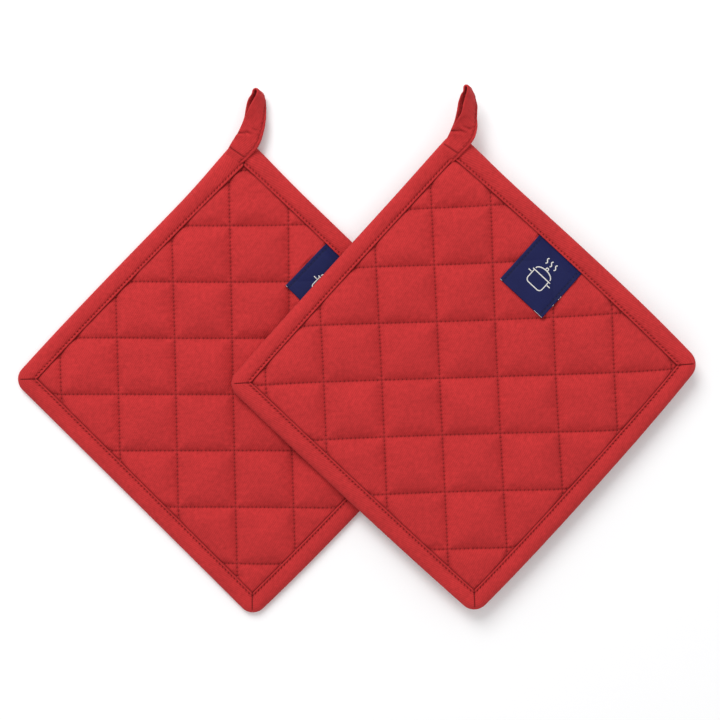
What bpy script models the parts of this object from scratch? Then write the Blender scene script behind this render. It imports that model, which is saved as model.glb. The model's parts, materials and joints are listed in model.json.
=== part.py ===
"""A pair of square quilted pot holders, the right one lying partly on the left one.

Each holder is a padded square that stands on one corner: two cotton covers with wadding and a
heat lining between them, quilted in lines that run from corner to corner, bound all round with
folded tape, with a woven label and a tape loop to hang it by at the top corner.

A holder is built in its own frame: u to the right, v up towards the loop, z away from the table.
Its square also has axes of its own, turned 45 degrees: along, from the top corner to the right
corner, and out, square to the upper right side. Lengths are in metres and +Z is up.
"""

import math

import bmesh
import bpy
from mathutils import Euler, Vector

# The square
SIDE = 0.200
CORNER_RADIUS = 0.0075
BIAS_STRETCH = 1.006
GAP = 0.0003

# Covers and filling from the underside up: name, thickness at the bound edge and in the middle
LAYERS = (
    ("back_cover", 0.0004, 0.0004),
    ("thermal_lining", 0.0002, 0.0008),
    ("wadding", 0.0004, 0.0045),
    ("face_cover", 0.0004, 0.0004),
)
SLOPE_FOOT = 0.0112
SLOPE_TOP = 0.0220

# Binding tape, two layers of cloth
TAPE_THICKNESS = 0.0007
BINDING_WIDTH = 0.0105
BINDING_ROUNDING = 0.0009

# Sewing thread, drawn as flat strips as wide as a row of stitches
THREAD_WIDTH = 0.0006
THREAD_THICKNESS = 0.0002
BINDING_STITCH_INSET = 0.0087

# Quilting lines
QUILT_PITCH_ACROSS = 0.0341
QUILT_PITCH_UP = 0.0334
QUILT_END_INSET = 0.0092
QUILT_LINES = range(-3, 4)

# Woven label, tucked under the binding of the upper right side
LABEL_LENGTH = 0.0336
LABEL_DEPTH = 0.0360
LABEL_TUCK = 0.0025
LABEL_START = -0.0214
LABEL_THICKNESS = 0.0002
LABEL_STITCH_INSET = 0.0022
LABEL_STITCH_CLEARANCE = 0.0012

# Hanging loop: a strip of tape doubled back on itself, standing on the top corner
LOOP_ROOT = 0.1340
LOOP_LENGTH = 0.0370
LOOP_WIDTH = 0.0130
LOOP_TAPE = 0.0012
LOOP_TIP_RADIUS = 0.0056
LOOP_TIP_LIFT = 0.0045
LOOP_CLOSED_LENGTH = 0.0080
LOOP_CLEARANCE = 0.0006
TACK_WIDTH = 0.0090
TACK_DEPTH = 0.0014

CORNER_STEPS = 6
TIP_STEPS = 12

# How the pair lies: the right holder's centre seen from the left one's, and each one's turn
PAIR_OFFSET = (0.1279, 0.0031)
HOLDERS = (
    {
        "name": "left",
        "level": 0,
        "turn": math.radians(1.1),
        "loop_lean": math.radians(11.9),
        "quilt_shift": (-0.0100, -0.0108),
    },
    {
        "name": "right",
        "level": 1,
        "turn": math.radians(2.7),
        "loop_lean": math.radians(10.0),
        "quilt_shift": (-0.0145, -0.0035),
    },
)

# Colours (linear), roughness
FINISHES = {
    "red_cotton": ((0.515, 0.034, 0.037), 0.90),
    "red_thread": ((0.420, 0.040, 0.042), 0.75),
    "white_wadding": ((0.800, 0.790, 0.740), 1.00),
    "silver_lining": ((0.560, 0.570, 0.580), 0.45),
    "navy_label": ((0.014, 0.015, 0.095), 0.70),
    "navy_thread": ((0.008, 0.008, 0.040), 0.75),
}


# Levels -------------------------------------------------------------------------------------

def layer_levels():
    """Each layer's underside and top, at the bound edge and in the middle."""
    edge, middle = TAPE_THICKNESS + GAP, 0.0
    levels = {}
    for name, at_edge, at_middle in LAYERS:
        levels[name] = ((edge, edge + at_edge), (middle, middle + at_middle))
        edge += at_edge + GAP
        middle += at_middle + GAP
    return levels


LEVELS = layer_levels()


def between(edge_value, middle_value, inset):
    """A height that changes evenly from the bound edge to the flat middle."""
    share = (inset - SLOPE_FOOT) / (SLOPE_TOP - SLOPE_FOOT)
    return edge_value + (middle_value - edge_value) * min(max(share, 0.0), 1.0)


def face_height(inset):
    """Top of the face cover, at this distance in from the square's sides."""
    (_, edge_top), (_, middle_top) = LEVELS["face_cover"]
    return between(edge_top, middle_top, inset)


def quilting_height(inset):
    return face_height(inset) + GAP


def label_height(inset):
    return quilting_height(inset) + THREAD_THICKNESS + GAP


def label_thread_height(inset):
    return label_height(inset) + LABEL_THICKNESS + GAP


BINDING_FLANGE = label_height(0.0) + LABEL_THICKNESS + GAP
BINDING_TOP = BINDING_FLANGE + TAPE_THICKNESS
LOOP_BASE = BINDING_TOP + LOOP_CLEARANCE
HINGE_HEIGHT = LOOP_BASE + 2 * LOOP_TAPE
LEVEL_STEP = label_thread_height(SIDE / 2) + THREAD_THICKNESS + GAP


# Places on the square -----------------------------------------------------------------------

def on_holder(along, out, z=0.0):
    """A point given on the square's own axes, in the holder's frame."""
    u = (along + out) / math.sqrt(2) / BIAS_STRETCH
    v = (out - along) / math.sqrt(2) * BIAS_STRETCH
    return Vector((u, v, z))


def inset_at(u, v):
    """How far a point of the holder's frame is in from the nearest side."""
    return SIDE / 2 - (abs(u) * BIAS_STRETCH + abs(v) / BIAS_STRETCH) / math.sqrt(2)


def square_outline(inset, z):
    """The square's outline with rounded corners, this far in from its sides."""
    half = SIDE / 2 - inset
    radius = max(CORNER_RADIUS - inset, GAP)
    points = []
    for corner in range(4):
        start = corner * math.pi / 2
        centre = Vector((half - radius, half - radius))
        centre.rotate(Euler((0, 0, start)).to_matrix().to_2x2())
        for step in range(CORNER_STEPS + 1):
            angle = start + step / CORNER_STEPS * math.pi / 2
            x = centre.x + radius * math.cos(angle)
            y = centre.y + radius * math.sin(angle)
            points.append(on_holder(x, y, z))
    return points


# Mesh tools ---------------------------------------------------------------------------------

def finish_material(name):
    """The named finish as a Principled material, made once."""
    material = bpy.data.materials.get(name)
    if material is None:
        colour, roughness = FINISHES[name]
        material = bpy.data.materials.new(name)
        material.use_nodes = True
        shader = material.node_tree.nodes["Principled BSDF"]
        shader.inputs["Base Color"].default_value = (*colour, 1.0)
        shader.inputs["Roughness"].default_value = roughness
        shader.inputs["Metallic"].default_value = 0.0
    return material


def add_piece(name, mesh_data, finish, parent):
    """Turns a bmesh into a named object under its parent, faces outward."""
    bmesh.ops.recalc_face_normals(mesh_data, faces=mesh_data.faces)
    mesh = bpy.data.meshes.new(name)
    mesh_data.to_mesh(mesh)
    mesh_data.free()
    mesh.materials.append(finish_material(finish))
    piece = bpy.data.objects.new(name, mesh)
    piece.parent = parent
    bpy.context.collection.objects.link(piece)
    return piece


def add_empty(name, location, turn, parent=None):
    empty = bpy.data.objects.new(name, None)
    empty.location = location
    empty.rotation_euler = (0, 0, turn)
    empty.parent = parent
    bpy.context.collection.objects.link(empty)
    return empty


def bridge(data, first, second):
    """Faces between two closed rows of vertices of the same length."""
    count = len(first)
    for i in range(count):
        j = (i + 1) % count
        data.faces.new((first[i], first[j], second[j], second[i]))


def loft(outlines, closed):
    """A solid through a list of outlines, with end caps unless the section is closed."""
    data = bmesh.new()
    rows = [[data.verts.new(point) for point in outline] for outline in outlines]
    for first, second in zip(rows, rows[1:]):
        bridge(data, first, second)
    if closed:
        bridge(data, rows[-1], rows[0])
    else:
        data.faces.new(rows[0])
        data.faces.new(rows[-1])
    return data


def thicken(data, offset):
    """Gives an open sheet of faces a thickness along the offset, as one closed body."""
    sheet = list(data.faces)
    swept = bmesh.ops.extrude_face_region(data, geom=sheet, use_keep_orig=True)
    moved = [item for item in swept["geom"] if isinstance(item, bmesh.types.BMVert)]
    bmesh.ops.translate(data, vec=offset, verts=moved)
    return data


# Pieces of one holder -----------------------------------------------------------------------

def add_layer(prefix, name, finish, holder):
    """One cover or filling sheet: flat in the middle, drawn together under the binding."""
    (edge_low, edge_high), (middle_low, middle_high) = LEVELS[name]
    rim = TAPE_THICKNESS + GAP
    outlines = [
        square_outline(SLOPE_TOP, middle_low),
        square_outline(SLOPE_FOOT, edge_low),
        square_outline(rim, edge_low),
        square_outline(rim, edge_high),
        square_outline(SLOPE_FOOT, edge_high),
        square_outline(SLOPE_TOP, middle_high),
    ]
    return add_piece(f"{prefix}_{name}", loft(outlines, closed=False), finish, holder)


def add_binding(prefix, holder):
    """The tape folded round the edge: a U section carried round the square."""
    section = (
        (BINDING_WIDTH, 0.0),
        (BINDING_ROUNDING, 0.0),
        (0.0, BINDING_ROUNDING),
        (0.0, BINDING_TOP - BINDING_ROUNDING),
        (BINDING_ROUNDING, BINDING_TOP),
        (BINDING_WIDTH, BINDING_TOP),
        (BINDING_WIDTH, BINDING_FLANGE),
        (TAPE_THICKNESS, BINDING_FLANGE),
        (TAPE_THICKNESS, TAPE_THICKNESS),
        (BINDING_WIDTH, TAPE_THICKNESS),
    )
    outlines = [square_outline(inset, z) for inset, z in section]
    return add_piece(f"{prefix}_binding", loft(outlines, closed=True), "red_cotton", holder)


def add_binding_thread(prefix, holder):
    """The row of stitches that closes the binding, all round the square."""
    low = BINDING_TOP + GAP
    high = low + THREAD_THICKNESS
    near, far = BINDING_STITCH_INSET, BINDING_STITCH_INSET + THREAD_WIDTH
    section = ((near, low), (near, high), (far, high), (far, low))
    outlines = [square_outline(inset, z) for inset, z in section]
    data = loft(outlines, closed=True)
    return add_piece(f"{prefix}_binding_thread", data, "red_thread", holder)


def line_end(offset, stretch, inset):
    """How far a quilting line at this offset runs from the diagonal it crosses."""
    reach = math.sqrt(2) * (SIDE / 2 - inset)
    return stretch * (reach - abs(offset) * stretch)


def line_stations(offset, stretch, crossings):
    """Where a quilting line has vertices: its ends, each crossing and each bend of the cover."""
    half = THREAD_WIDTH / 2
    end = line_end(offset, stretch, QUILT_END_INSET)
    stations = {-end, end}
    for crossing in crossings:
        if abs(crossing) + half < end:
            stations |= {crossing - half, crossing + half}
    bends = {0.0}
    for inset in (SLOPE_FOOT, SLOPE_TOP):
        bend = line_end(offset, stretch, inset)
        if bend > 0:
            bends |= {-bend, bend}
    for bend in bends:
        if all(abs(crossing - bend) > THREAD_WIDTH for crossing in crossings):
            stations.add(bend)
    return sorted(stations)


def add_quilting_thread(prefix, spec, holder):
    """The quilting stitches on the face: a net of crossing strips that follows the cover."""
    shift_across, shift_up = spec["quilt_shift"]
    across = [shift_across + QUILT_PITCH_ACROSS * k for k in QUILT_LINES]
    up = [shift_up + QUILT_PITCH_UP * k for k in QUILT_LINES]
    half = THREAD_WIDTH / 2
    data = bmesh.new()
    corners = {}

    def corner(u, v):
        key = (round(u, 7), round(v, 7))
        if key not in corners:
            corners[key] = data.verts.new((u, v, quilting_height(inset_at(u, v))))
        return corners[key]

    def patch(u_low, u_high, v_low, v_high):
        places = ((u_low, v_low), (u_high, v_low), (u_high, v_high), (u_low, v_high))
        verts = [corner(u, v) for u, v in places]
        if data.faces.get(verts) is None:
            data.faces.new(verts)

    for u in across:
        stations = line_stations(u, BIAS_STRETCH, up)
        for low, high in zip(stations, stations[1:]):
            patch(u - half, u + half, low, high)
    for v in up:
        stations = line_stations(v, 1 / BIAS_STRETCH, across)
        for low, high in zip(stations, stations[1:]):
            patch(low, high, v - half, v + half)
    thicken(data, Vector((0, 0, THREAD_THICKNESS)))
    return add_piece(f"{prefix}_quilting_thread", data, "red_thread", holder)


def sloping_strip(start, end, insets, height, thickness):
    """A strip square to the upper right side, bent to lie over the cover's slope."""
    data = bmesh.new()
    rows = []
    for inset in insets:
        out = SIDE / 2 - inset
        rows.append([data.verts.new(on_holder(x, out, height(inset))) for x in (start, end)])
    for (a, b), (c, d) in zip(rows, rows[1:]):
        data.faces.new((a, b, d, c))
    return thicken(data, Vector((0, 0, thickness)))


def add_label(prefix, holder):
    """The woven label, its outer end caught under the binding."""
    insets = (
        BINDING_WIDTH - LABEL_TUCK,
        SLOPE_FOOT,
        SLOPE_TOP,
        BINDING_WIDTH + LABEL_DEPTH,
    )
    end = LABEL_START + LABEL_LENGTH
    data = sloping_strip(LABEL_START, end, insets, label_height, LABEL_THICKNESS)
    return add_piece(f"{prefix}_label", data, "navy_label", holder)


def add_label_threads(prefix, holder):
    """The two rows of stitches that hold the label's free sides."""
    insets = (
        SLOPE_FOOT + LABEL_STITCH_CLEARANCE,
        SLOPE_TOP,
        BINDING_WIDTH + LABEL_DEPTH - LABEL_STITCH_CLEARANCE,
    )
    first = LABEL_START + LABEL_STITCH_INSET
    second = LABEL_START + LABEL_LENGTH - LABEL_STITCH_INSET
    rows = (("upper", first), ("lower", second))
    for name, centre in rows:
        start, end = centre - THREAD_WIDTH / 2, centre + THREAD_WIDTH / 2
        data = sloping_strip(start, end, insets, label_thread_height, THREAD_THICKNESS)
        add_piece(f"{prefix}_label_thread_{name}", data, "navy_thread", holder)


def tangent_angle(point, centre, radius, side):
    """Angle on a circle where a line from the point touches it; side is +1 above, -1 below."""
    away = point - centre
    spread = math.acos(radius / away.length)
    return math.atan2(away.y, away.x) - side * spread


def tip_arc(low_point, high_point, centre, radius):
    """The loop's round tip: an arc that both straight legs run into smoothly."""
    start = tangent_angle(low_point, centre, radius, -1)
    end = tangent_angle(high_point, centre, radius, 1)
    start -= 2 * math.pi * round(start / (2 * math.pi))
    end -= 2 * math.pi * round(end / (2 * math.pi))
    steps = [start + (end - start) * i / TIP_STEPS for i in range(TIP_STEPS + 1)]
    return [centre + radius * Vector((math.cos(a), math.sin(a))) for a in steps]


def add_hanging_loop(prefix, hinge):
    """The loop as a teardrop of tape: two legs sewn flat at the root, apart at the tip."""
    root_low = Vector((GAP, -2 * LOOP_TAPE))
    root_high = Vector((GAP, 0.0))
    parting = Vector((LOOP_CLOSED_LENGTH, -LOOP_TAPE))
    tip_centre = Vector((LOOP_LENGTH - LOOP_TIP_RADIUS, LOOP_TIP_LIFT - 2 * LOOP_TAPE))
    inner_radius = LOOP_TIP_RADIUS - LOOP_TAPE
    outside = tip_arc(root_low, root_high, tip_centre, LOOP_TIP_RADIUS)
    inside = tip_arc(parting, parting, tip_centre, inner_radius)
    data = bmesh.new()

    def vert(point):
        return data.verts.new((-LOOP_WIDTH / 2, point.x, point.y))

    low, high, eye = vert(root_low), vert(root_high), vert(parting)
    outer = [low, *(vert(point) for point in outside), high]
    inner = [eye, *(vert(point) for point in inside), eye]
    data.faces.new((low, eye, high))
    for i in range(len(outer) - 1):
        quad = (outer[i], outer[i + 1], inner[i + 1], inner[i])
        data.faces.new(dict.fromkeys(quad))
    thicken(data, Vector((LOOP_WIDTH, 0, 0)))
    return add_piece(f"{prefix}_hanging_loop", data, "red_cotton", hinge)


def add_loop_tack(prefix, hinge_place, turn, holder):
    """The short close row of stitches that ties the loop to the corner."""
    data = bmesh.new()
    bmesh.ops.create_cube(data, size=1.0)
    size = Vector((TACK_WIDTH, TACK_DEPTH, THREAD_THICKNESS))
    bmesh.ops.scale(data, vec=size, verts=data.verts)
    tack = add_piece(f"{prefix}_loop_tack", data, "red_thread", holder)
    z = BINDING_TOP + GAP + THREAD_THICKNESS / 2
    tack.location = (hinge_place.x, hinge_place.y - TACK_DEPTH / 2 - GAP, z)
    tack.rotation_euler = (0, 0, turn)
    return tack


def add_holder(spec, centre):
    """Every piece of one holder, under an empty at its centre."""
    prefix = spec["name"]
    base = Vector((*centre, spec["level"] * LEVEL_STEP))
    holder = add_empty(f"{prefix}_holder", base, spec["turn"])
    hinge_place = Vector((0.0, LOOP_ROOT, HINGE_HEIGHT))
    hinge = add_empty(f"{prefix}_loop_hinge", hinge_place, -spec["loop_lean"], holder)
    finishes = {"wadding": "white_wadding", "thermal_lining": "silver_lining"}
    for name, _, _ in LAYERS:
        add_layer(prefix, name, finishes.get(name, "red_cotton"), holder)
    add_binding(prefix, holder)
    add_binding_thread(prefix, holder)
    add_quilting_thread(prefix, spec, holder)
    add_label(prefix, holder)
    add_label_threads(prefix, holder)
    add_hanging_loop(prefix, hinge)
    add_loop_tack(prefix, hinge_place, 0.0, holder)
    return holder


# The pair -----------------------------------------------------------------------------------

def centre_on_origin(holders):
    """Moves both holders so that the origin is under the middle of the whole pair's box."""
    bpy.context.view_layer.update()
    meshes = [piece for piece in bpy.data.objects if piece.type == "MESH"]
    corners = [piece.matrix_world @ v.co for piece in meshes for v in piece.data.vertices]
    for axis in (0, 1):
        values = [point[axis] for point in corners]
        middle = (min(values) + max(values)) / 2
        for holder in holders:
            holder.location[axis] -= middle
    bpy.context.view_layer.update()


def main():
    for piece in list(bpy.data.objects):
        bpy.data.objects.remove(piece, do_unlink=True)
    centres = ((0.0, 0.0), PAIR_OFFSET)
    holders = [add_holder(spec, centre) for spec, centre in zip(HOLDERS, centres)]
    centre_on_origin(holders)


main()
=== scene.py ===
"""Detailed model of a pair of quilted pot holders, built round the frame of their CAD model.

Each holder has a frame of its own: u to the right, v towards the hanging loop, z up from its
back. Its square has axes too, turned 45 degrees from those: along, from the top corner to the
right corner, and out, square to the upper right side. Every length is in metres.
"""

import json
import math

import bmesh
import bpy
import numpy as np
from bpy.props import FloatProperty, FloatVectorProperty, PointerProperty
from bpy.types import Operator, Panel, PropertyGroup
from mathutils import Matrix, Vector
from mathutils.bvhtree import BVHTree
from mathutils.noise import noise


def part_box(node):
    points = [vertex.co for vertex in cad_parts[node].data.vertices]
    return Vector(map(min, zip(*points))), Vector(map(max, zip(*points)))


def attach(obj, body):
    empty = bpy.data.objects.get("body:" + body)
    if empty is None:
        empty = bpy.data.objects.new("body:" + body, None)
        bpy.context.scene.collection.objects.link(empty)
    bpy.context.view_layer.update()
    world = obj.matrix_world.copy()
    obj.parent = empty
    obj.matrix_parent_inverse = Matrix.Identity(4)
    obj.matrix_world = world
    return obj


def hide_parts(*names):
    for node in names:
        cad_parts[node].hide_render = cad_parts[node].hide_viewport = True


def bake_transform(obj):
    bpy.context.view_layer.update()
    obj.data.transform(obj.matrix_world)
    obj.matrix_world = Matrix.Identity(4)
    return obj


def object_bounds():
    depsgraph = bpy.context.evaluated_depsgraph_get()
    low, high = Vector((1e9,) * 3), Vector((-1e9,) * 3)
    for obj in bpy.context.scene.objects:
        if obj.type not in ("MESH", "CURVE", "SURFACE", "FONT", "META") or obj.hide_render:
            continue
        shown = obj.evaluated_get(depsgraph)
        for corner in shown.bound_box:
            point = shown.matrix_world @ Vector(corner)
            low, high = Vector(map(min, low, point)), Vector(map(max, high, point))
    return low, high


bl_info = {
    "name": "Quilted Pot Holders",
    "version": (1, 0, 0),
    "blender": (4, 5, 0),
    "location": "3D View > Sidebar > Pot Holders",
    "description": "Sews a pair of quilted pot holders round their CAD frame",
    "category": "Object",
}

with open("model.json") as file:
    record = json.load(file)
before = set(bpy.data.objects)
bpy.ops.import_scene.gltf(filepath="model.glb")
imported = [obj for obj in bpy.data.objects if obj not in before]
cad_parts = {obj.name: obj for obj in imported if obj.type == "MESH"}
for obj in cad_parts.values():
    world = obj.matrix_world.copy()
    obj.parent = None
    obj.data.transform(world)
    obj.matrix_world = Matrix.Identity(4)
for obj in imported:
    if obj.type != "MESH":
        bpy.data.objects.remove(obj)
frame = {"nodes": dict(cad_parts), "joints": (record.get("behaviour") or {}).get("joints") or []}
CAD_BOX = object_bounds()

MM = 0.001

# How the square is cut and sewn
BIAS_STRETCH = 1.006
CORNER_RADIUS = 8.5 * MM
CORNER_STEPS = 16
TAPE_WIDTH = 10.5 * MM
TAPE_TOP = 5.3 * MM
PULL_REACH = 32.0 * MM
LABEL_START = -22.1 * MM
LABEL_LENGTH = 33.6 * MM
LABEL_DEPTH = 34.2 * MM
LABEL_TUCK = 2.5 * MM
# How far the quilting lifts the label, between which insets, and the share it sags over a row
LABEL_LIFT = 1.6 * MM
LABEL_LIFT_INSETS = (10.0 * MM, 17.0 * MM)
LABEL_SAG = 0.38
LABEL_GAP = 0.02 * MM
# How far the face cover keeps below the label
BED_CLEARANCE = 0.35 * MM
# The face cover's height at its rim, how far in its own edge lies, and where it slopes up
COVER_RIM = 4.2 * MM
COVER_EDGE = 5.5 * MM
SLOPE_INSETS = (10.5 * MM, 16.5 * MM)
# A row is sewn when it runs at least this far each way, and it ends this far in
SHORTEST_ROW = 5.0 * MM
ROW_END = 9.4 * MM

# How deep the thread draws the cloth in beside a row
SEAM_DRAW = 0.85 * MM
BROAD_DRAW = 0.55 * MM
# How much fuller the face is than the simulated cloth, because the wadding pushes it up
FACE_FULLNESS = 1.4
# How far from a row each of the two draws reaches
SEAM_REACH = 1.9 * MM
BROAD_REACH = 4.5 * MM
# A needle hole in the quilting, which is dented and painted darker as shade, and the line of painted
# shade along its row
HOLE_ACROSS = 0.50 * MM
HOLE_ALONG = 0.55 * MM
HOLE_DEPTH = 0.28 * MM
ROW_SHADE = 0.42
ROW_WIDTH = 0.42 * MM
# The cloth is bound flat at the first inset and free at the second
FREE_INSETS = (9.0 * MM, 12.0 * MM)
# Size of the places where the cloth is looser, and puckers more
LOOSE_SIZE = 16.0 * MM
# The small puckers beside a row
PUCKER_HEIGHT = 0.17 * MM
PUCKER_AWAY = 1.2 * MM
PUCKER_WIDTH = 1.6 * MM
# The shade where the cover goes under the binding
TUCK_INSET = 11.0 * MM
TUCK_WIDTH = 0.45 * MM
TUCK_SHADE = 0.75
# Soft folds between the rows: direction in degrees, how long they are for their width, width,
# height and noise seed
SOFT_FOLDS = (
    (0, 1.0, 11.0 * MM, 0.45 * MM, 3),
    (0, 1.0, 2.6 * MM, 0.09 * MM, 5),
    (4, 4.5, 3.6 * MM, 0.20 * MM, 11),
    (92, 4.5, 3.6 * MM, 0.17 * MM, 13),
)
# Folds that the loop and the binding pull into the cloth near the top corner
TUG_FOLDS = (
    (38, 4.0, 4.6 * MM, 0.60 * MM, 17),
    (128, 5.0, 3.8 * MM, 0.30 * MM, 19),
)
TUG_REACH = 62.0 * MM

# The cloth simulation works on a grid with this many steps between quilting rows
GRID_STEPS = 28
HOLE_STEPS = 2
SIM_SCALE = 10.0
SIM_FRAMES = 20
ROWS_EACH_WAY = 5
# The cover is held flat this far in from its edge, under the binding
HELD_INSET = 10.0 * MM
# How far the simulated cloth may sink and rise
RISE_LIMITS = (-0.3 * MM, 2.5 * MM)

# The back cover's heights at the slope's insets, and how full it is
BACK_LEVELS = (1.25 * MM, 1.15 * MM)
BACK_FULLNESS = 0.62
BACK_RELIEF = 0.7
LOWEST_BACK = 0.03 * MM

# Where the quilting rows cross, seen from each holder's centre
QUILT_SHIFT = {"left": (-8.8 * MM, -9.4 * MM), "right": (-14.2 * MM, -2.0 * MM)}
# How much the rows rise from left to right
QUILT_RISE = {"left": -0.006, "right": -0.013}

# How far the middle of each side bows out: upper right, lower right, lower left, upper left
SIDE_BOWS = {
    "left": (2.1 * MM, 2.3 * MM, -0.1 * MM, 1.6 * MM),
    "right": (2.9 * MM, 2.4 * MM, 1.1 * MM, 0.7 * MM),
}
# How far the left corner has slipped up
CORNER_SLIP = {"left": 2.7 * MM, "right": 1.0 * MM}
# How far the loop pulls the edge of its corner, along and out
CORNER_PULL = {"left": (-3.6 * MM, 2.6 * MM), "right": (-0.9 * MM, 3.0 * MM)}

# The upper leg of each hanging loop, from the seam to the tip:
# u, v and z of its middle, how far it is rolled over, the gap to the lower leg, and its width
LOOP_LINES = {
    "left": (
        (-7.0, 129.6, 3.6, 0, 1.2, 9.6),
        (-5.0, 132.0, 5.4, 0, 1.5, 11.4),
        (-2.9, 134.7, 6.6, 0, 1.6, 12.8),
        (0.0, 138.4, 7.3, 0, 1.6, 13.9),
        (3.1, 142.6, 8.2, 0, 1.7, 14.4),
        (5.6, 148.0, 8.6, 4, 1.8, 13.8),
        (7.6, 153.6, 9.0, 16, 2.2, 12.8),
        (9.1, 158.6, 9.6, 36, 3.4, 12.4),
        (10.5, 163.2, 9.4, 52, 4.2, 12.0),
        (11.2, 166.4, 9.0, 64, 3.8, 11.6),
        (11.3, 168.6, 8.6, 72, 3.2, 11.2),
    ),
    "right": (
        (-4.8, 127.4, 3.6, 0, 1.2, 9.6),
        (-2.9, 129.8, 5.4, 0, 1.5, 10.8),
        (-0.7, 132.3, 6.3, 0, 1.6, 11.9),
        (3.2, 137.4, 7.4, 0, 1.6, 13.6),
        (5.7, 141.2, 8.4, 4, 1.8, 14.5),
        (8.0, 145.8, 9.4, 18, 2.8, 13.7),
        (9.9, 151.4, 10.0, 42, 4.2, 12.8),
        (11.2, 158.4, 9.8, 48, 4.0, 12.6),
        (11.7, 164.0, 9.0, 65, 3.0, 12.4),
        (11.2, 167.1, 8.6, 75, 2.2, 12.2),
    ),
}
LOOP_TAPE = 1.5 * MM
LOOP_CREASES = {"left": (22.6 * MM, 0.7), "right": (21.0 * MM, 0.65)}
LOOP_TACK = 7.1 * MM


class POTHOLDER_PG_sizes(PropertyGroup):
    """Sizes of the cloth, the thread and the quilting."""

    pitch_across: FloatProperty(
        name="Row pitch across",
        description="Distance between the rows of quilting that run towards the loop",
        default=0.0341,
        min=0.02,
        unit="LENGTH",
    )
    pitch_up: FloatProperty(
        name="Row pitch up",
        description="Distance between the rows of quilting that run across",
        default=0.0334,
        min=0.02,
        unit="LENGTH",
    )
    quilt_depth: FloatProperty(
        name="Quilting depth",
        description="How far the rows of stitches lie below the face cover's flat CAD level",
        default=0.0014,
        min=0.0,
        unit="LENGTH",
    )
    growth: FloatProperty(
        name="Fullness",
        description="How much wider the cover's cloth is than the square that it is sewn to",
        default=0.010,
        min=0.0,
        max=0.05,
    )
    stitch: FloatProperty(
        name="Stitch length",
        description="Distance between needle holes on the binding, the label and the loop",
        default=0.0024,
        min=0.001,
        unit="LENGTH",
    )
    thread: FloatProperty(
        name="Thread radius",
        description="Radius of the sewing thread",
        default=0.00017,
        min=0.00005,
        unit="LENGTH",
    )
    topstitch: FloatProperty(
        name="Topstitch inset",
        description="How far in from the edge the binding is stitched",
        default=0.0094,
        min=0.001,
        unit="LENGTH",
    )
    rib: FloatProperty(
        name="Twill rib",
        description="Distance between the diagonal ribs of the twill",
        default=0.0011,
        min=0.0002,
        unit="LENGTH",
    )


class POTHOLDER_PG_colours(PropertyGroup):
    """Colours of the cloth, the thread and the filling."""

    cotton: FloatVectorProperty(
        name="Cotton",
        description="Colour of the covers, the binding and the loop",
        default=(0.485, 0.0290, 0.0305),
        subtype="COLOR",
    )
    # The binding and loop thread is painted darker than the cloth's red, as painted shade where its
    # stitches sink in
    thread: FloatVectorProperty(
        name="Thread",
        description="Colour of the red thread in the binding and the loop",
        default=(0.330, 0.022, 0.024),
        subtype="COLOR",
    )
    # The quilting thread is painted lighter than the cloth's red, as a painted highlight on its stitches
    quilting_thread: FloatVectorProperty(
        name="Quilting thread",
        description="Colour of the red thread in the quilting",
        default=(0.560, 0.070, 0.070),
        subtype="COLOR",
    )
    label: FloatVectorProperty(
        name="Label",
        description="Colour of the woven label",
        default=(0.0085, 0.0112, 0.070),
        subtype="COLOR",
    )
    label_thread: FloatVectorProperty(
        name="Label thread",
        description="Colour of the thread that holds the label",
        default=(0.010, 0.010, 0.050),
        subtype="COLOR",
    )
    motif: FloatVectorProperty(
        name="Motif",
        description="Colour of the cooking pot woven into the label",
        default=(0.72, 0.70, 0.66),
        subtype="COLOR",
    )
    filling: FloatVectorProperty(
        name="Filling",
        description="Colour of the wadding",
        default=(0.80, 0.79, 0.74),
        subtype="COLOR",
    )
    lining: FloatVectorProperty(
        name="Heat lining",
        description="Colour of the felt that turns the heat back",
        default=(0.56, 0.57, 0.58),
        subtype="COLOR",
    )


class POTHOLDER_PG_stage(PropertyGroup):
    """The table, the light and the camera."""

    camera_height: FloatProperty(
        name="Camera height",
        description="Height of the camera over the table",
        default=0.916,
        min=0.1,
        unit="LENGTH",
    )
    view_angle: FloatProperty(
        name="View angle",
        description="Angle that the camera takes in",
        default=math.radians(26.46),
        subtype="ANGLE",
    )
    key_power: FloatProperty(
        name="Key light",
        description="Power of the large soft lamp, in watts",
        default=27.0,
        min=0.0,
    )
    sky: FloatProperty(
        name="Room light",
        description="Strength of the even white light from all round",
        default=0.71,
        min=0.0,
    )
    table: FloatVectorProperty(
        name="Table",
        description="Colour of the table top",
        default=(0.95, 0.95, 0.955),
        subtype="COLOR",
    )


# Places -------------------------------------------------------------------------------------

def square_place(along, out):
    """u and v of a place given on the square's own axes."""
    u = (along + out) / math.sqrt(2) / BIAS_STRETCH
    v = (out - along) / math.sqrt(2) * BIAS_STRETCH
    return u, v


def on_square(u, v):
    """along and out of a place in the holder's frame."""
    straight_u, straight_v = u * BIAS_STRETCH, v / BIAS_STRETCH
    return (straight_u - straight_v) / math.sqrt(2), (straight_u + straight_v) / math.sqrt(2)


def read_points(mesh):
    """Places of a mesh's vertices, one row each."""
    points = np.zeros(len(mesh.vertices) * 3)
    mesh.vertices.foreach_get("co", points)
    return points.reshape(-1, 3)


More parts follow.
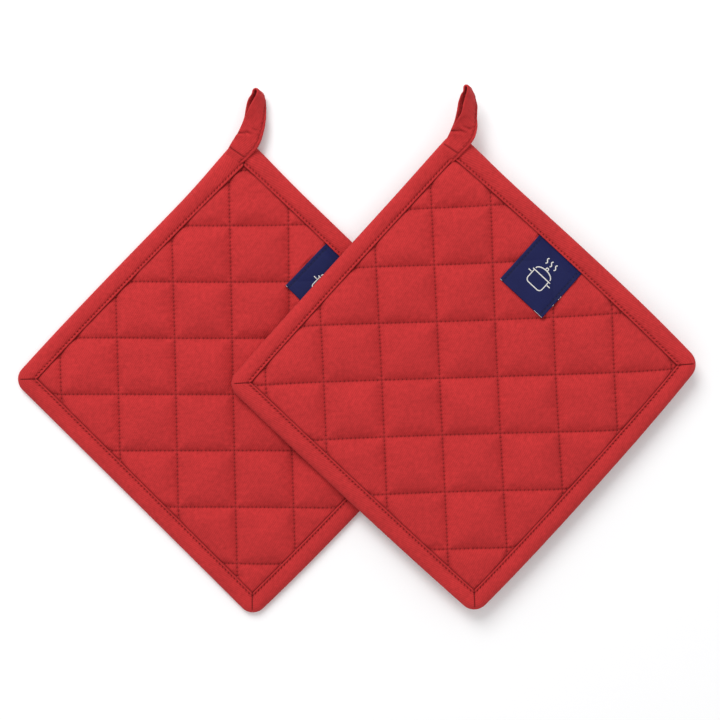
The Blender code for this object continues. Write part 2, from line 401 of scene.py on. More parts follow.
class Holder:
    """Where one pot holder lies, from the CAD model."""

    def __init__(self, side):
        low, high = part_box(f"{side}_wadding")
        joint = next(j for j in frame["joints"] if j["name"] == f"{side}_loop_fold")
        self.side = side
        self.body = f"{side}_holder"
        self.loop_body = f"{side}_loop"
        self.centre = (low + high) / 2
        self.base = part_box(f"{side}_back_cover")[0].z
        self.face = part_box(f"{side}_face_cover")[1].z - self.base
        self.hinge = Vector(joint["pos_m"])
        reach = self.hinge - self.centre
        self.turn = math.atan2(-reach.x, reach.y)
        self.fold_axis = Vector(joint["axis"])
        self.shift = QUILT_SHIFT[side]
        self.seed = {"left": 0.0, "right": 1.0}[side]
        u, v, _ = self.from_world(read_points(frame["nodes"][f"{side}_binding"].data)).T
        self.half = float(np.abs(on_square(u, v)[0]).max())

    def to_world(self, points):
        """Points of the holder's frame, as an array, in the shared frame."""
        c, s = math.cos(self.turn), math.sin(self.turn)
        u, v, z = np.asarray(points, float).T
        u, v = self.bowed(u, v)
        x = self.centre.x + u * c - v * s
        y = self.centre.y + u * s + v * c
        return np.column_stack([x, y, z + self.base])

    def bowed(self, u, v):
        """The place that a point takes when the sides of the sewn square bow out."""
        along, out = on_square(u, v)
        upper_right, lower_right, lower_left, upper_left = SIDE_BOWS[self.side]
        out_share = np.clip(np.abs(out) / self.half, 0, 1)
        along_share = np.clip(np.abs(along) / self.half, 0, 1)
        bow_out = np.where(out > 0, upper_right, -lower_left)
        bow_along = np.where(along > 0, lower_right, -upper_left)
        inside = (1 - out_share**6) * (1 - along_share**6)
        leftness = np.clip(0.5 - along / SIDE, 0, 1) * np.clip(0.5 - out / SIDE, 0, 1)
        slip = CORNER_SLIP[self.side] * leftness + QUILT_RISE[self.side] * u * inside
        bowed_u, bowed_v = square_place(along + bow_along * along_share**3 * (1 - out_share**2.5),
                                        out + bow_out * out_share**3 * (1 - along_share**2.5))
        return bowed_u, bowed_v + slip

    def from_world(self, points):
        """Points of the shared frame in the holder's own, with straight sides."""
        c, s = math.cos(self.turn), math.sin(self.turn)
        x, y, z = np.asarray(points, float).T
        x, y = x - self.centre.x, y - self.centre.y
        return np.column_stack([x * c + y * s, y * c - x * s, z - self.base])


HOLDERS = [Holder("left"), Holder("right")]
HALF = HOLDERS[0].half
SIDE = 2 * HALF


def inset_at(u, v):
    """How far a place is in from the nearest side of the square."""
    along, out = on_square(u, v)
    return HALF - np.maximum(np.abs(along), np.abs(out))


def smooth(value, low, high):
    """0 below low, 1 above high and an even turn between them."""
    share = np.clip((value - low) / (high - low), 0.0, 1.0)
    return share * share * (3 - 2 * share)


def bell(distance, width):
    """1 at no distance and almost 0 two widths away."""
    return np.exp(-((distance / width) ** 2))


def lumps(points, size, seed):
    """Smooth noise from -1 to 1 at each point, with lumps about this size."""
    return np.array([noise(Vector((x / size, y / size, seed))) for x, y in points])


def spline(rows, count):
    """Points evenly spaced by parameter on a smooth curve through the rows."""
    rows = np.asarray(rows, float)
    padded = np.vstack([2 * rows[0] - rows[1], rows, 2 * rows[-1] - rows[-2]])
    t = np.linspace(0, len(rows) - 1, count)
    k = np.minimum(t.astype(int), len(rows) - 2)
    f = (t - k)[:, None]
    a, b, c, d = padded[k], padded[k + 1], padded[k + 2], padded[k + 3]
    return 0.5 * (2 * b + (c - a) * f + (2 * a - 5 * b + 4 * c - d) * f**2
                  + (3 * b - a - 3 * c + d) * f**3)


# Mesh tools ---------------------------------------------------------------------------------

def set_attribute(mesh, name, kind, values):
    """Stores a value or a vector for each vertex."""
    attribute = mesh.attributes.get(name) or mesh.attributes.new(name, kind, "POINT")
    key = "vector" if kind == "FLOAT_VECTOR" else "value"
    attribute.data.foreach_set(key, np.asarray(values, np.float32).ravel())


def read_cloth(mesh):
    """The cloth coordinates that a mesh carries as an attribute."""
    values = np.zeros(len(mesh.vertices) * 3)
    mesh.attributes["cloth"].data.foreach_get("vector", values)
    return values.reshape(-1, 3)


def make_mesh(name, points, faces, cloth=None, painted_shade=None):
    """A mesh with its cloth coordinates and its painted shade for needle holes, grooves and creases, as
    attributes.
    """
    mesh = bpy.data.meshes.new(name)
    mesh.from_pydata(np.asarray(points).tolist(), [], [tuple(face) for face in faces])
    if cloth is not None:
        set_attribute(mesh, "cloth", "FLOAT_VECTOR", cloth)
    # The painted shade attribute darkens the cloth's colour where shade falls in holes, grooves and
    # creases
    if painted_shade is not None:
        set_attribute(mesh, "painted_shade", "FLOAT", painted_shade)
    return mesh


def face_outward(mesh):
    """Turns every face of a closed mesh outward."""
    shape = bmesh.new()
    shape.from_mesh(mesh)
    bmesh.ops.recalc_face_normals(shape, faces=shape.faces)
    shape.to_mesh(mesh)
    shape.free()


def add_piece(mesh, material):
    """Links a finished mesh as a piece of the model; slot may be None."""
    mesh.shade_smooth()
    mesh.materials.append(material)
    piece = bpy.data.objects.new(mesh.name, mesh)
    bpy.context.scene.collection.objects.link(piece)
    return piece


def ring_faces(rings, around, closed):
    """Quads between neighbouring rings of points; closed joins the last ring to the first."""
    last = rings if closed else rings - 1
    i, j = np.meshgrid(np.arange(last), np.arange(around), indexing="ij")
    step = (i + 1) % rings
    side = (j + 1) % around
    quads = np.stack([i * around + j, i * around + side, step * around + side,
                      step * around + j], axis=-1)
    return quads.reshape(-1, 4)


def slab_faces(shape):
    """Faces of a closed slab: an upper grid of points, a lower one after it, and the walls."""
    count = shape[0] * shape[1]
    grid = np.arange(count).reshape(shape)
    quads = np.stack([grid[:-1, :-1], grid[1:, :-1], grid[1:, 1:], grid[:-1, 1:]], axis=-1)
    quads = quads.reshape(-1, 4)
    rim = np.concatenate([grid[0, :-1], grid[:-1, -1], grid[-1, :0:-1], grid[:0:-1, 0]])
    after = np.roll(rim, -1)
    walls = np.column_stack([rim, after, after + count, rim + count])
    return np.vstack([quads, quads[:, ::-1] + count, walls])


def surface_of(name):
    """A piece's surface, to lay other pieces on."""
    mesh = bpy.data.objects[name].data
    points = [tuple(v.co) for v in mesh.vertices]
    return BVHTree.FromPolygons(points, [tuple(p.vertices) for p in mesh.polygons])


def height_on(surface, point, from_above=True):
    """Height of a surface over or under a point of the shared frame, or None."""
    start = Vector((point[0], point[1], 0.1 if from_above else -0.1))
    hit = surface.ray_cast(start, Vector((0, 0, -1 if from_above else 1)))[0]
    return None if hit is None else hit.z


STITCH_RINGS = np.array([0.0, 0.12, 0.32, 0.5, 0.68, 0.88, 1.0])
STITCH_SIDES = 6
# How far a stitch stands up in its middle, on flat cloth and on padded cloth
STITCH_BULGE = 0.12 * MM
FULL_BULGE = 0.13 * MM
# The share of a stitch that goes down into the cloth at each end
STITCH_DIP = 0.10
# How deep a stitch's ends lie in the cloth, in thread radii
STITCH_SINK = 0.3
# Step from one stitch to the next in the thread's pattern, so that no two look the same
STITCH_SHIFT = 0.37


def stitch_mesh(name, stitches, radius, bulge):
    """One short bent thread for each pair of ends, thinner where it enters the cloth."""
    ends = np.asarray(stitches, float)
    start, end, up = ends[:, 0], ends[:, 1], ends[:, 2]
    run = end - start
    length = np.linalg.norm(run, axis=1, keepdims=True)
    side = np.cross(run / length, up)
    side /= np.linalg.norm(side, axis=1, keepdims=True)
    normal = np.cross(side, run / length)
    angles = np.arange(STITCH_SIDES) / STITCH_SIDES * 2 * math.pi
    points, cloth = [], []
    for share in STITCH_RINGS:
        middle = start + run * share + normal * bulge * (math.sin(math.pi * share) ** 0.7)
        thick = radius * (0.35 + 0.65 * math.sin(math.pi * share) ** 0.5)
        for angle in angles:
            points.append(middle + side * thick * math.cos(angle) + normal * thick * math.sin(angle))
            cloth.append(np.column_stack([length[:, 0] * share, np.full(len(ends), angle * radius),
                                          np.arange(len(ends)) * STITCH_SHIFT]))
    points = np.array(points).transpose(1, 0, 2).reshape(-1, 3)
    cloth = np.array(cloth).transpose(1, 0, 2).reshape(-1, 3)
    around = len(STITCH_RINGS) * STITCH_SIDES
    one = ring_faces(len(STITCH_RINGS), STITCH_SIDES, False)
    cap = np.arange(STITCH_SIDES)
    faces = []
    for k in range(len(ends)):
        faces.extend((one + k * around).tolist())
        faces.append((cap[::-1] + k * around).tolist())
        faces.append((cap + (k + 1) * around - STITCH_SIDES).tolist())
    mesh = make_mesh(name, points, faces, cloth)
    face_outward(mesh)
    return mesh


# Materials ----------------------------------------------------------------------------------

class Finish:
    """A Principled material and a short way to add nodes to it."""

    def __init__(self, name):
        self.material = bpy.data.materials.new(name)
        self.material.use_nodes = True
        self.tree = self.material.node_tree
        self.shader = self.tree.nodes["Principled BSDF"]

    def add(self, kind, inputs=(), **settings):
        """A new node; each input is a socket to link or a plain value."""
        node = self.tree.nodes.new(kind)
        for key, value in settings.items():
            setattr(node, key, value)
        for key, value in dict(inputs).items():
            if isinstance(value, bpy.types.NodeSocket):
                self.tree.links.new(value, node.inputs[key])
            else:
                node.inputs[key].default_value = value
        return node

    def attribute(self, name):
        """The node that reads one of the mesh's attributes."""
        return self.add("ShaderNodeAttribute", attribute_name=name)

    def math(self, operation, first, second):
        """Two values joined by an operation."""
        return self.add("ShaderNodeMath", {0: first, 1: second}, operation=operation).outputs[0]

    def product(self, first, *others):
        """The product of several values."""
        for other in others:
            first = self.math("MULTIPLY", first, other)
        return first

    def spread(self, value, low, high):
        """The value, which runs from 0 to 1, spread from low to high."""
        node = self.add("ShaderNodeMapRange", {"Value": value, "To Min": low, "To Max": high})
        return node.outputs["Result"]

    def noise(self, place, scale, detail):
        """Cloudy noise from 0 to 1, with this many clouds a metre."""
        node = self.add("ShaderNodeTexNoise", {"Vector": place, "Scale": scale, "Detail": detail})
        return node.outputs["Fac"]

    def wave(self, place, pitch, turn, distortion=0.0):
        """Even ribs this far apart, turned from the cloth's first direction."""
        turned = self.add("ShaderNodeMapping", {"Vector": place, "Rotation": (0, 0, turn)})
        inputs = {"Vector": turned.outputs[0], "Scale": math.pi / 10 / pitch,
                  "Distortion": distortion, "Detail": 2.0, "Detail Scale": 2.0}
        return self.add("ShaderNodeTexWave", inputs).outputs["Fac"]

    def dyed(self, colour, tone):
        """The colour made lighter or darker by a tone."""
        red, green, blue = colour
        plain = self.add("ShaderNodeCombineColor", {"Red": red, "Green": green, "Blue": blue})
        inputs = {0: plain.outputs[0], "Scale": tone}
        return self.add("ShaderNodeVectorMath", inputs, operation="SCALE").outputs[0]

    def bump(self, height, distance, strength, below=None):
        """The normal of a bumped surface, which may have another bump below it."""
        inputs = {"Height": height, "Distance": distance, "Strength": strength}
        if below is not None:
            inputs["Normal"] = below
        return self.add("ShaderNodeBump", inputs).outputs["Normal"]

    def set(self, **values):
        """Links or sets the shader's own inputs."""
        for key, value in values.items():
            socket = self.shader.inputs[key.replace("_", " ")]
            if isinstance(value, bpy.types.NodeSocket):
                self.tree.links.new(value, socket)
            else:
                socket.default_value = value


def finish_material(name, recipe, *values):
    """The named material, made by its recipe the first time."""
    material = bpy.data.materials.get(name)
    if material is None:
        finish = Finish(name)
        recipe(finish, *values)
        material = finish.material
    return material


def cotton_twill(finish, colour, rib, rib_turn):
    """Dyed cotton twill: diagonal ribs, spun grain, uneven dye, and painted shade in needle holes,
    quilting grooves and creases.
    """
    place = finish.attribute("cloth").outputs["Vector"]
    painted_shade = finish.attribute("painted_shade").outputs["Fac"]
    ribs = finish.wave(place, rib, rib_turn, 1.2)
    threads = finish.wave(place, rib * 0.55, rib_turn + math.pi / 2, 1.6)
    grain = finish.noise(place, 2600.0, 3.0)
    slub = finish.noise(place, 420.0, 3.0)
    dye = finish.noise(place, 45.0, 3.0)
    # The last factor is painted shade: it darkens the cloth in needle holes, grooves, creases and under
    # the binding's edge
    tone = finish.product(finish.spread(ribs, 0.89, 1.09), finish.spread(grain, 0.70, 1.30),
                          finish.spread(slub, 0.76, 1.24), finish.spread(dye, 0.86, 1.14),
                          finish.spread(painted_shade, 1.0, 0.22))
    weave = finish.math("ADD", finish.product(ribs, 0.6), finish.product(threads, 0.4))
    normal = finish.bump(slub, 0.0004, 0.7)
    normal = finish.bump(grain, 0.00008, 0.7, normal)
    normal = finish.bump(weave, 0.00014, 0.9, normal)
    finish.set(Base_Color=finish.dyed(colour, tone), Normal=normal,
               Roughness=finish.spread(grain, 0.82, 0.98), Sheen_Weight=0.04, Sheen_Roughness=0.5,
               Specular_IOR_Level=0.12)


def spun_thread(finish, colour):
    """Two-ply sewing thread with a faint twist."""
    place = finish.attribute("cloth").outputs["Vector"]
    twist = finish.wave(place, 0.00045, math.radians(35), 0.4)
    fuzz = finish.noise(place, 3000.0, 2.0)
    tone = finish.product(finish.spread(twist, 0.80, 1.08), finish.spread(fuzz, 0.86, 1.12))
    finish.set(Base_Color=finish.dyed(colour, tone), Normal=finish.bump(twist, 0.00006, 0.7),
               Roughness=finish.spread(fuzz, 0.70, 0.90), Specular_IOR_Level=0.08)


def woven_satin(finish, colour, gloss):
    """Woven label satin: fine weft lines, a little shine, loose fibres and painted shade at its stitch
    holes.
    """
    place = finish.attribute("cloth").outputs["Vector"]
    painted_shade = finish.attribute("painted_shade").outputs["Fac"]
    weft = finish.wave(place, 0.00042, 0.0, 0.3)
    warp = finish.wave(place, 0.00030, math.pi / 2, 0.3)
    grain = finish.noise(place, 2400.0, 2.0)
    cloudy = finish.noise(place, 120.0, 3.0)
    # The last factor is painted shade in the label's stitch holes
    tone = finish.product(finish.spread(weft, 0.78, 1.16), finish.spread(cloudy, 0.86, 1.16),
                          finish.spread(grain, 0.80, 1.20), finish.spread(painted_shade, 1.0, 0.35))
    weave = finish.math("ADD", weft, finish.product(warp, 0.5))
    finish.set(Base_Color=finish.dyed(colour, tone), Normal=finish.bump(weave, 0.00005, 0.7),
               Roughness=finish.spread(grain, gloss, gloss + 0.2), Specular_IOR_Level=0.14)


def soft_fibres(finish, colour, size, roughness):
    """Loose or needled fibres, for the wadding and the heat lining."""
    place = finish.attribute("cloth").outputs["Vector"]
    fibres = finish.noise(place, 1.0 / size, 6.0)
    clouds = finish.noise(place, 90.0, 3.0)
    tone = finish.product(finish.spread(fibres, 0.75, 1.15), finish.spread(clouds, 0.90, 1.08))
    finish.set(Base_Color=finish.dyed(colour, tone), Normal=finish.bump(fibres, 0.0003, 0.8),
               Roughness=finish.spread(clouds, roughness, roughness + 0.1))


def cotton_material(context):
    """The covers' cloth."""
    sizes, colours = context.scene.potholder_sizes, context.scene.potholder_colours
    return finish_material("cotton_twill", cotton_twill, colours.cotton[:], sizes.rib, math.radians(32))


def tape_material(context):
    """The same cloth cut on the bias, for the binding and the loop."""
    sizes, colours = context.scene.potholder_sizes, context.scene.potholder_colours
    return finish_material("bias_tape", cotton_twill, colours.cotton[:], sizes.rib, math.radians(76))


def thread_material(context):
    """The thread of the binding and the loop, painted darker as shade."""
    return finish_material("shaded_seam_thread", spun_thread, context.scene.potholder_colours.thread[:])


def quilting_material(context):
    """The thread of the quilting rows, painted lighter as a highlight."""
    colour = context.scene.potholder_colours.quilting_thread
    return finish_material("quilting_thread", spun_thread, colour[:])


# Quilted covers -----------------------------------------------------------------------------

def rows_at(pitch, shift, stretch):
    """Offsets of the quilting rows that are long enough to sew, and how far each runs."""
    rows = []
    for k in range(-ROWS_EACH_WAY, ROWS_EACH_WAY + 1):
        offset = shift + k * pitch
        reach = stretch * (math.sqrt(2) * (HALF - ROW_END) - abs(offset) * stretch)
        if reach > SHORTEST_ROW:
            rows.append((offset, reach))
    return rows


def cover_base(holder, sizes, inset):
    """Height of the face cover at its rows of stitches, with nothing blown up between them."""
    groove = holder.face - sizes.quilt_depth
    return np.interp(inset, SLOPE_INSETS, (COVER_RIM, groove))


def cover_grid(holder, sizes):
    """Places and quads of a cover whose grid lines run along the quilting rows."""
    steps = np.arange(-ROWS_EACH_WAY * GRID_STEPS, ROWS_EACH_WAY * GRID_STEPS + 1)
    i, j = np.meshgrid(steps, steps, indexing="ij")
    u = holder.shift[0] + i * sizes.pitch_across / GRID_STEPS
    v = holder.shift[1] + j * sizes.pitch_up / GRID_STEPS
    inside = inset_at(u, v) >= COVER_EDGE
    number = np.full(inside.shape, -1)
    number[inside] = np.arange(inside.sum())
    corners = (number[:-1, :-1], number[1:, :-1], number[1:, 1:], number[:-1, 1:])
    whole = np.all([c >= 0 for c in corners], axis=0)
    quads = np.column_stack([c[whole] for c in corners])
    used = np.unique(quads)
    renumber = np.full(inside.sum(), -1)
    renumber[used] = np.arange(len(used))
    on_row = ((i % GRID_STEPS == 0) & (j % HOLE_STEPS == 0)) | (
        (j % GRID_STEPS == 0) & (i % HOLE_STEPS == 0))
    places = np.column_stack([u[inside], v[inside]])[used]
    return places, renumber[quads], on_row[inside][used]


def blow_up(holder, sizes, places, quads, held):
    """Cloth simulation of the cover: held at its needle holes and under the binding, it fills
    out between them. Returns how far each point rises."""
    base = cover_base(holder, sizes, inset_at(*places.T))
    rest = np.column_stack([places, base]) * SIM_SCALE
    mesh = make_mesh("quilting_trial", rest, quads)
    trial = bpy.data.objects.new("quilting_trial", mesh)
    bpy.context.scene.collection.objects.link(trial)
    group = trial.vertex_groups.new(name="held")
    group.add(np.nonzero(held)[0].tolist(), 1.0, "REPLACE")
    cloth = trial.modifiers.new("cloth", "CLOTH")
    settings = cloth.settings
    settings.quality = 4
    settings.mass = 0.3
    settings.tension_stiffness = 15
    settings.compression_stiffness = 15
    settings.shear_stiffness = 5
    settings.bending_stiffness = 0.5
    settings.tension_damping = 5
    settings.compression_damping = 5
    settings.shear_damping = 5
    settings.bending_damping = 0.5
    settings.air_damping = 1
    settings.vertex_group_mass = "held"
    settings.use_pressure = True
    settings.uniform_pressure_force = 4
    settings.shrink_min = -sizes.growth
    settings.effector_weights.gravity = 0
    cloth.collision_settings.use_collision = False
    cloth.point_cache.frame_start = 1
    cloth.point_cache.frame_end = SIM_FRAMES
    scene = bpy.context.scene
    for number in range(1, SIM_FRAMES + 1):
        scene.frame_set(number)
    shaped = trial.evaluated_get(bpy.context.evaluated_depsgraph_get())
    risen = read_points(shaped.to_mesh())[:, 2] / SIM_SCALE - base
    shaped.to_mesh_clear()
    bpy.data.objects.remove(trial)
    bpy.data.meshes.remove(mesh)
    scene.frame_set(1)
    return np.clip(risen, *RISE_LIMITS)


def pillow(holder, sizes, u, v):
    """0 on the quilting rows and 1 in the middle of the squares between them."""
    across = np.abs(np.sin(math.pi * (u - holder.shift[0]) / sizes.pitch_across))
    up = np.abs(np.sin(math.pi * (v - holder.shift[1]) / sizes.pitch_up))
    return np.sqrt(across * up)


def row_distances(holder, sizes, u, v):
    """Distance to the nearest row of each kind, and along it to the nearest needle hole."""
    found = []
    for value, other, pitch, other_pitch, shift, other_shift in (
        (u, v, sizes.pitch_across, sizes.pitch_up, holder.shift[0], holder.shift[1]),
        (v, u, sizes.pitch_up, sizes.pitch_across, holder.shift[1], holder.shift[0]),
    ):
        away = (value - shift + pitch / 2) % pitch - pitch / 2
        stitch = HOLE_STEPS * other_pitch / GRID_STEPS
        hole = (other - other_shift + stitch / 2) % stitch - stitch / 2
        found.append((away, hole, stitch))
    return found


def label_share(u, v, margin):
    """1 over the label and 0 beside it."""
    along, out = on_square(u, v)
    inset = HALF - out
    inside = smooth(along, LABEL_START - margin, LABEL_START)
    inside = inside * (1 - smooth(along, LABEL_START + LABEL_LENGTH, LABEL_START + LABEL_LENGTH + margin))
    return inside * (1 - smooth(inset, TAPE_WIDTH + LABEL_DEPTH, TAPE_WIDTH + LABEL_DEPTH + margin))


def label_bed(holder, sizes, u, v):
    """Height of the label's underside: it rides over the quilting and tucks in at the edge."""
    inset = inset_at(u, v)
    lift = LABEL_LIFT * smooth(inset, *LABEL_LIFT_INSETS)
    ride = 1 - LABEL_SAG + LABEL_SAG * pillow(holder, sizes, u, v)
    return cover_base(holder, sizes, inset) + LABEL_GAP + lift * ride


def folds(rows, holder, u, v):
    """Height of soft folds that run in the directions of the rows."""
    height = np.zeros(len(u))
    for degrees, length, width, rise, seed in rows:
        c, s = math.cos(math.radians(degrees)), math.sin(math.radians(degrees))
        drawn = np.column_stack([(u * c + v * s) / length, v * c - u * s])
        height += rise * lumps(drawn, width, holder.seed * 9 + seed)
    return height


def finer_mesh(name, points, quads, cloth):
    """A mesh with every quad cut in four and its creases rounded."""
    rough = make_mesh(name, points, quads, cloth)
    carrier = bpy.data.objects.new(name, rough)
    bpy.context.scene.collection.objects.link(carrier)
    finer = carrier.modifiers.new("finer", "SUBSURF")
    finer.levels = 1
    finer.render_levels = 1
    graph = bpy.context.evaluated_depsgraph_get()
    mesh = bpy.data.meshes.new_from_object(carrier.evaluated_get(graph), depsgraph=graph)
    bpy.data.objects.remove(carrier)
    bpy.data.meshes.remove(rough)
    mesh.name = name
    return mesh


def quilted_relief(holder, sizes, u, v):
    """Height that stitches, puckers and folds give the cloth, and its painted shade in needle holes,
    along rows and under the binding.
    """
    inset = inset_at(u, v)
    free = smooth(inset, *FREE_INSETS)
    loose = 0.5 + 0.5 * lumps(np.column_stack([u, v]), LOOSE_SIZE, holder.seed * 9 + 1)
    relief, painted_shade, dimple, drawn_in, drawn_wide = np.zeros((5, len(u)))
    for away, hole, stitch in row_distances(holder, sizes, u, v):
        dimple = np.maximum(dimple, bell(away, HOLE_ACROSS) * bell(hole, HOLE_ALONG))
        # Painted shade along the groove of each row; the needle holes are painted darker as shade below
        painted_shade = np.maximum(painted_shade, ROW_SHADE * bell(away, ROW_WIDTH))
        drawn_in = np.maximum(drawn_in, SEAM_DRAW * np.exp(-np.abs(away) / SEAM_REACH))
        drawn_wide = np.maximum(drawn_wide, BROAD_DRAW * np.exp(-np.abs(away) / BROAD_REACH))
        ripple = np.cos(2 * math.pi * hole / stitch)
        relief -= PUCKER_HEIGHT * ripple * bell(np.abs(away) - PUCKER_AWAY, PUCKER_WIDTH) * loose
    painted_shade = np.maximum(painted_shade, dimple)
    relief -= HOLE_DEPTH * dimple + (drawn_in + drawn_wide) * free
    relief += folds(SOFT_FOLDS, holder, u, v) * free * (0.4 + 0.6 * loose)
    corner = np.hypot(u, v - math.sqrt(2) * HALF)
    relief += folds(TUG_FOLDS, holder, u, v) * free * bell(corner, TUG_REACH)
    # Painted shade where the cover goes under the binding, joined with the shade at the rows and holes
    tucked = bell(inset - TUCK_INSET, TUCK_WIDTH)
    return relief, np.maximum(painted_shade * free, TUCK_SHADE * tucked)


def quilted_mesh(name, holder, sizes, places, quads, risen, face):
    """A quilted cover: the blown-up grid made finer, with needle holes, puckers and creases."""
    inset = inset_at(*places.T)
    if face:
        heights = cover_base(holder, sizes, inset) + FACE_FULLNESS * risen
    else:
        heights = np.interp(inset, SLOPE_INSETS, BACK_LEVELS) - BACK_FULLNESS * risen
    cloth = np.column_stack([places, np.full(len(places), holder.seed)])
    mesh = finer_mesh(name, np.column_stack([places, heights]), quads, cloth)
    points = read_points(mesh)
    u, v, _ = read_cloth(mesh).T
    relief, painted_shade = quilted_relief(holder, sizes, u, v)
    if face:
        points[:, 2] += relief
        covered = label_share(u, v, 1.0 * MM) > 0.01
        bed = label_bed(holder, sizes, u, v) - BED_CLEARANCE
        points[:, 2] = np.where(covered, np.minimum(points[:, 2], bed), points[:, 2])
    else:
        points[:, 2] = np.maximum(points[:, 2] - BACK_RELIEF * relief, LOWEST_BACK)
    mesh.vertices.foreach_set("co", holder.to_world(points).ravel())
    # The painted shade darkens the cover's colour in holes, grooves and under the binding
    set_attribute(mesh, "painted_shade", "FLOAT", painted_shade)
    if not face:
        mesh.flip_normals()
    mesh.update()
    return mesh


class POTHOLDER_OT_covers(Operator):
    """Blow up and sew the quilted face and back covers"""

    bl_idname = "potholder.sew_covers"
    bl_label = "Sew Covers"

    def execute(self, context):
        sizes = context.scene.potholder_sizes
        cotton = cotton_material(context)
        for holder in HOLDERS:
            places, quads, on_row = cover_grid(holder, sizes)
            held = on_row | (inset_at(*places.T) < HELD_INSET)
            risen = blow_up(holder, sizes, places, quads, held)
            for part, face in (("face", True), ("back", False)):
                name = f"{holder.side}_quilted_{part}"
                mesh = quilted_mesh(name, holder, sizes, places, quads, risen, face)
                piece = add_piece(mesh, cotton)
                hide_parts(f"{holder.side}_{part}_cover")
                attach(piece, holder.body)
        return {"FINISHED"}


# Filling ------------------------------------------------------------------------------------

PAD_POINTS = 121
PAD_EDGE = 3.0 * MM
# Where the filling starts to swell between the rows, and where it is full
SWELL_INSETS = (12 * MM, 20 * MM)
# How far the wadding lies below the face at its rows, and how far it swells between them
WADDING_DROP = 2.1 * MM
WADDING_SWELL = 0.8 * MM
LINING_TOP = 2.3 * MM
LINING_BOTTOM = 1.6 * MM
LINING_SWELL = 0.3 * MM
LAYER_GAP = 0.2 * MM


def pad_mesh(name, holder, top, bottom):
    """A closed quilted pad between two height rules, on a coarser grid than the covers."""
    reach = HALF - PAD_EDGE
    line = np.linspace(-reach, reach, PAD_POINTS)
    along, out = np.meshgrid(line, line, indexing="ij")
    u, v = square_place(along.ravel(), out.ravel())
    upper = np.column_stack([u, v, top(u, v)])
    lower = np.column_stack([u, v, bottom(u, v)])
    cloth = np.vstack([upper, lower])
    mesh = make_mesh(name, holder.to_world(cloth), slab_faces(along.shape), cloth)
    face_outward(mesh)
    return mesh


class POTHOLDER_OT_filling(Operator):
    """Lay in the wadding and the heat lining"""

    bl_idname = "potholder.lay_filling"
    bl_label = "Lay Filling"

    def execute(self, context):
        sizes, colours = context.scene.potholder_sizes, context.scene.potholder_colours
        fluffy = finish_material("fluffy_wadding", soft_fibres, colours.filling[:], 0.0006, 0.9)
        felted = finish_material("silver_felt", soft_fibres, colours.lining[:], 0.0003, 0.5)
        for holder in HOLDERS:
            side = holder.side

            def swell(u, v, holder=holder):
                return pillow(holder, sizes, u, v) * smooth(inset_at(u, v), *SWELL_INSETS)

            def wadding_top(u, v, holder=holder):
                rows = cover_base(holder, sizes, inset_at(u, v)) - WADDING_DROP
                return rows + WADDING_SWELL * swell(u, v)

            def wadding_bottom(u, v):
                return lining_top(u, v) + LAYER_GAP

            def lining_top(u, v):
                return LINING_TOP - LINING_SWELL * swell(u, v)

            def lining_bottom(u, v):
                return LINING_BOTTOM - LINING_SWELL * swell(u, v)

            mesh = pad_mesh(f"{side}_filling", holder, wadding_top, wadding_bottom)
            filling = add_piece(mesh, fluffy)
            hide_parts(f"{side}_wadding")
            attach(filling, holder.body)
            mesh = pad_mesh(f"{side}_heat_felt", holder, lining_top, lining_bottom)
            lining = add_piece(mesh, felted)
            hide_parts(f"{side}_thermal_lining")
            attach(lining, holder.body)
        return {"FINISHED"}


# Binding ------------------------------------------------------------------------------------

# Half sections of the folded tape, inset and height, from its inner edge out to the fold
TAPE_ABOVE = (
    (10.50, 4.40), (10.82, 4.90), (10.55, 5.40), (10.05, 5.36), (9.4, 4.66), (8.6, 5.24),
    (7.0, 5.78), (5.0, 5.96), (3.2, 5.74), (1.7, 5.10), (0.6, 4.05), (0.0, 2.75),
)
TAPE_BELOW = (
    (0.6, 1.25), (1.7, 0.42), (3.2, 0.10), (5.0, 0.03), (7.0, 0.06), (8.6, 0.20), (9.4, 0.45),
    (10.05, 0.16), (10.55, 0.14), (10.82, 0.45), (10.50, 0.90),
)
TAPE_INSIDE = ((8.6, 1.05), (4.0, 0.85), (1.3, 1.5), (0.85, 2.7), (1.3, 3.9), (4.0, 4.35), (8.6, 4.25))
TAPE_AROUND = 58
STITCH_STATIONS = 3
# The insets between which the tape's puffed band rises and falls
BAND_RISE = (0.5 * MM, 3.0 * MM)
BAND_FALL = (7.0 * MM, 8.6 * MM)
# How the stitches and the mitres dent the tape
TAPE_PULL_DEPTH = 0.10 * MM
TAPE_PULL_WIDTH = 1.5 * MM
TAPE_HOLE_DEPTH = 0.22 * MM
TAPE_HOLE_WIDTH = 0.42 * MM
MITRE_INSETS = (1.2 * MM, 2.4 * MM)
MITRE_DEPTH = 0.55 * MM
MITRE_WIDTH = 0.28 * MM
FLAP_RISE = 0.28 * MM
FLAP_REACH = 2.0 * MM
FLAP_EDGE = 0.3 * MM
# The tape's underside shows this much of its relief, and never lies lower than this
UNDER_RELIEF = 0.4
LOWEST_TAPE = 0.02 * MM


def tape_reach(depth):
    """Half the straight run of a side at this inset, and the corner's radius there."""
    radius = np.maximum(CORNER_RADIUS - depth, 0.4 * MM)
    return HALF - depth - radius, radius


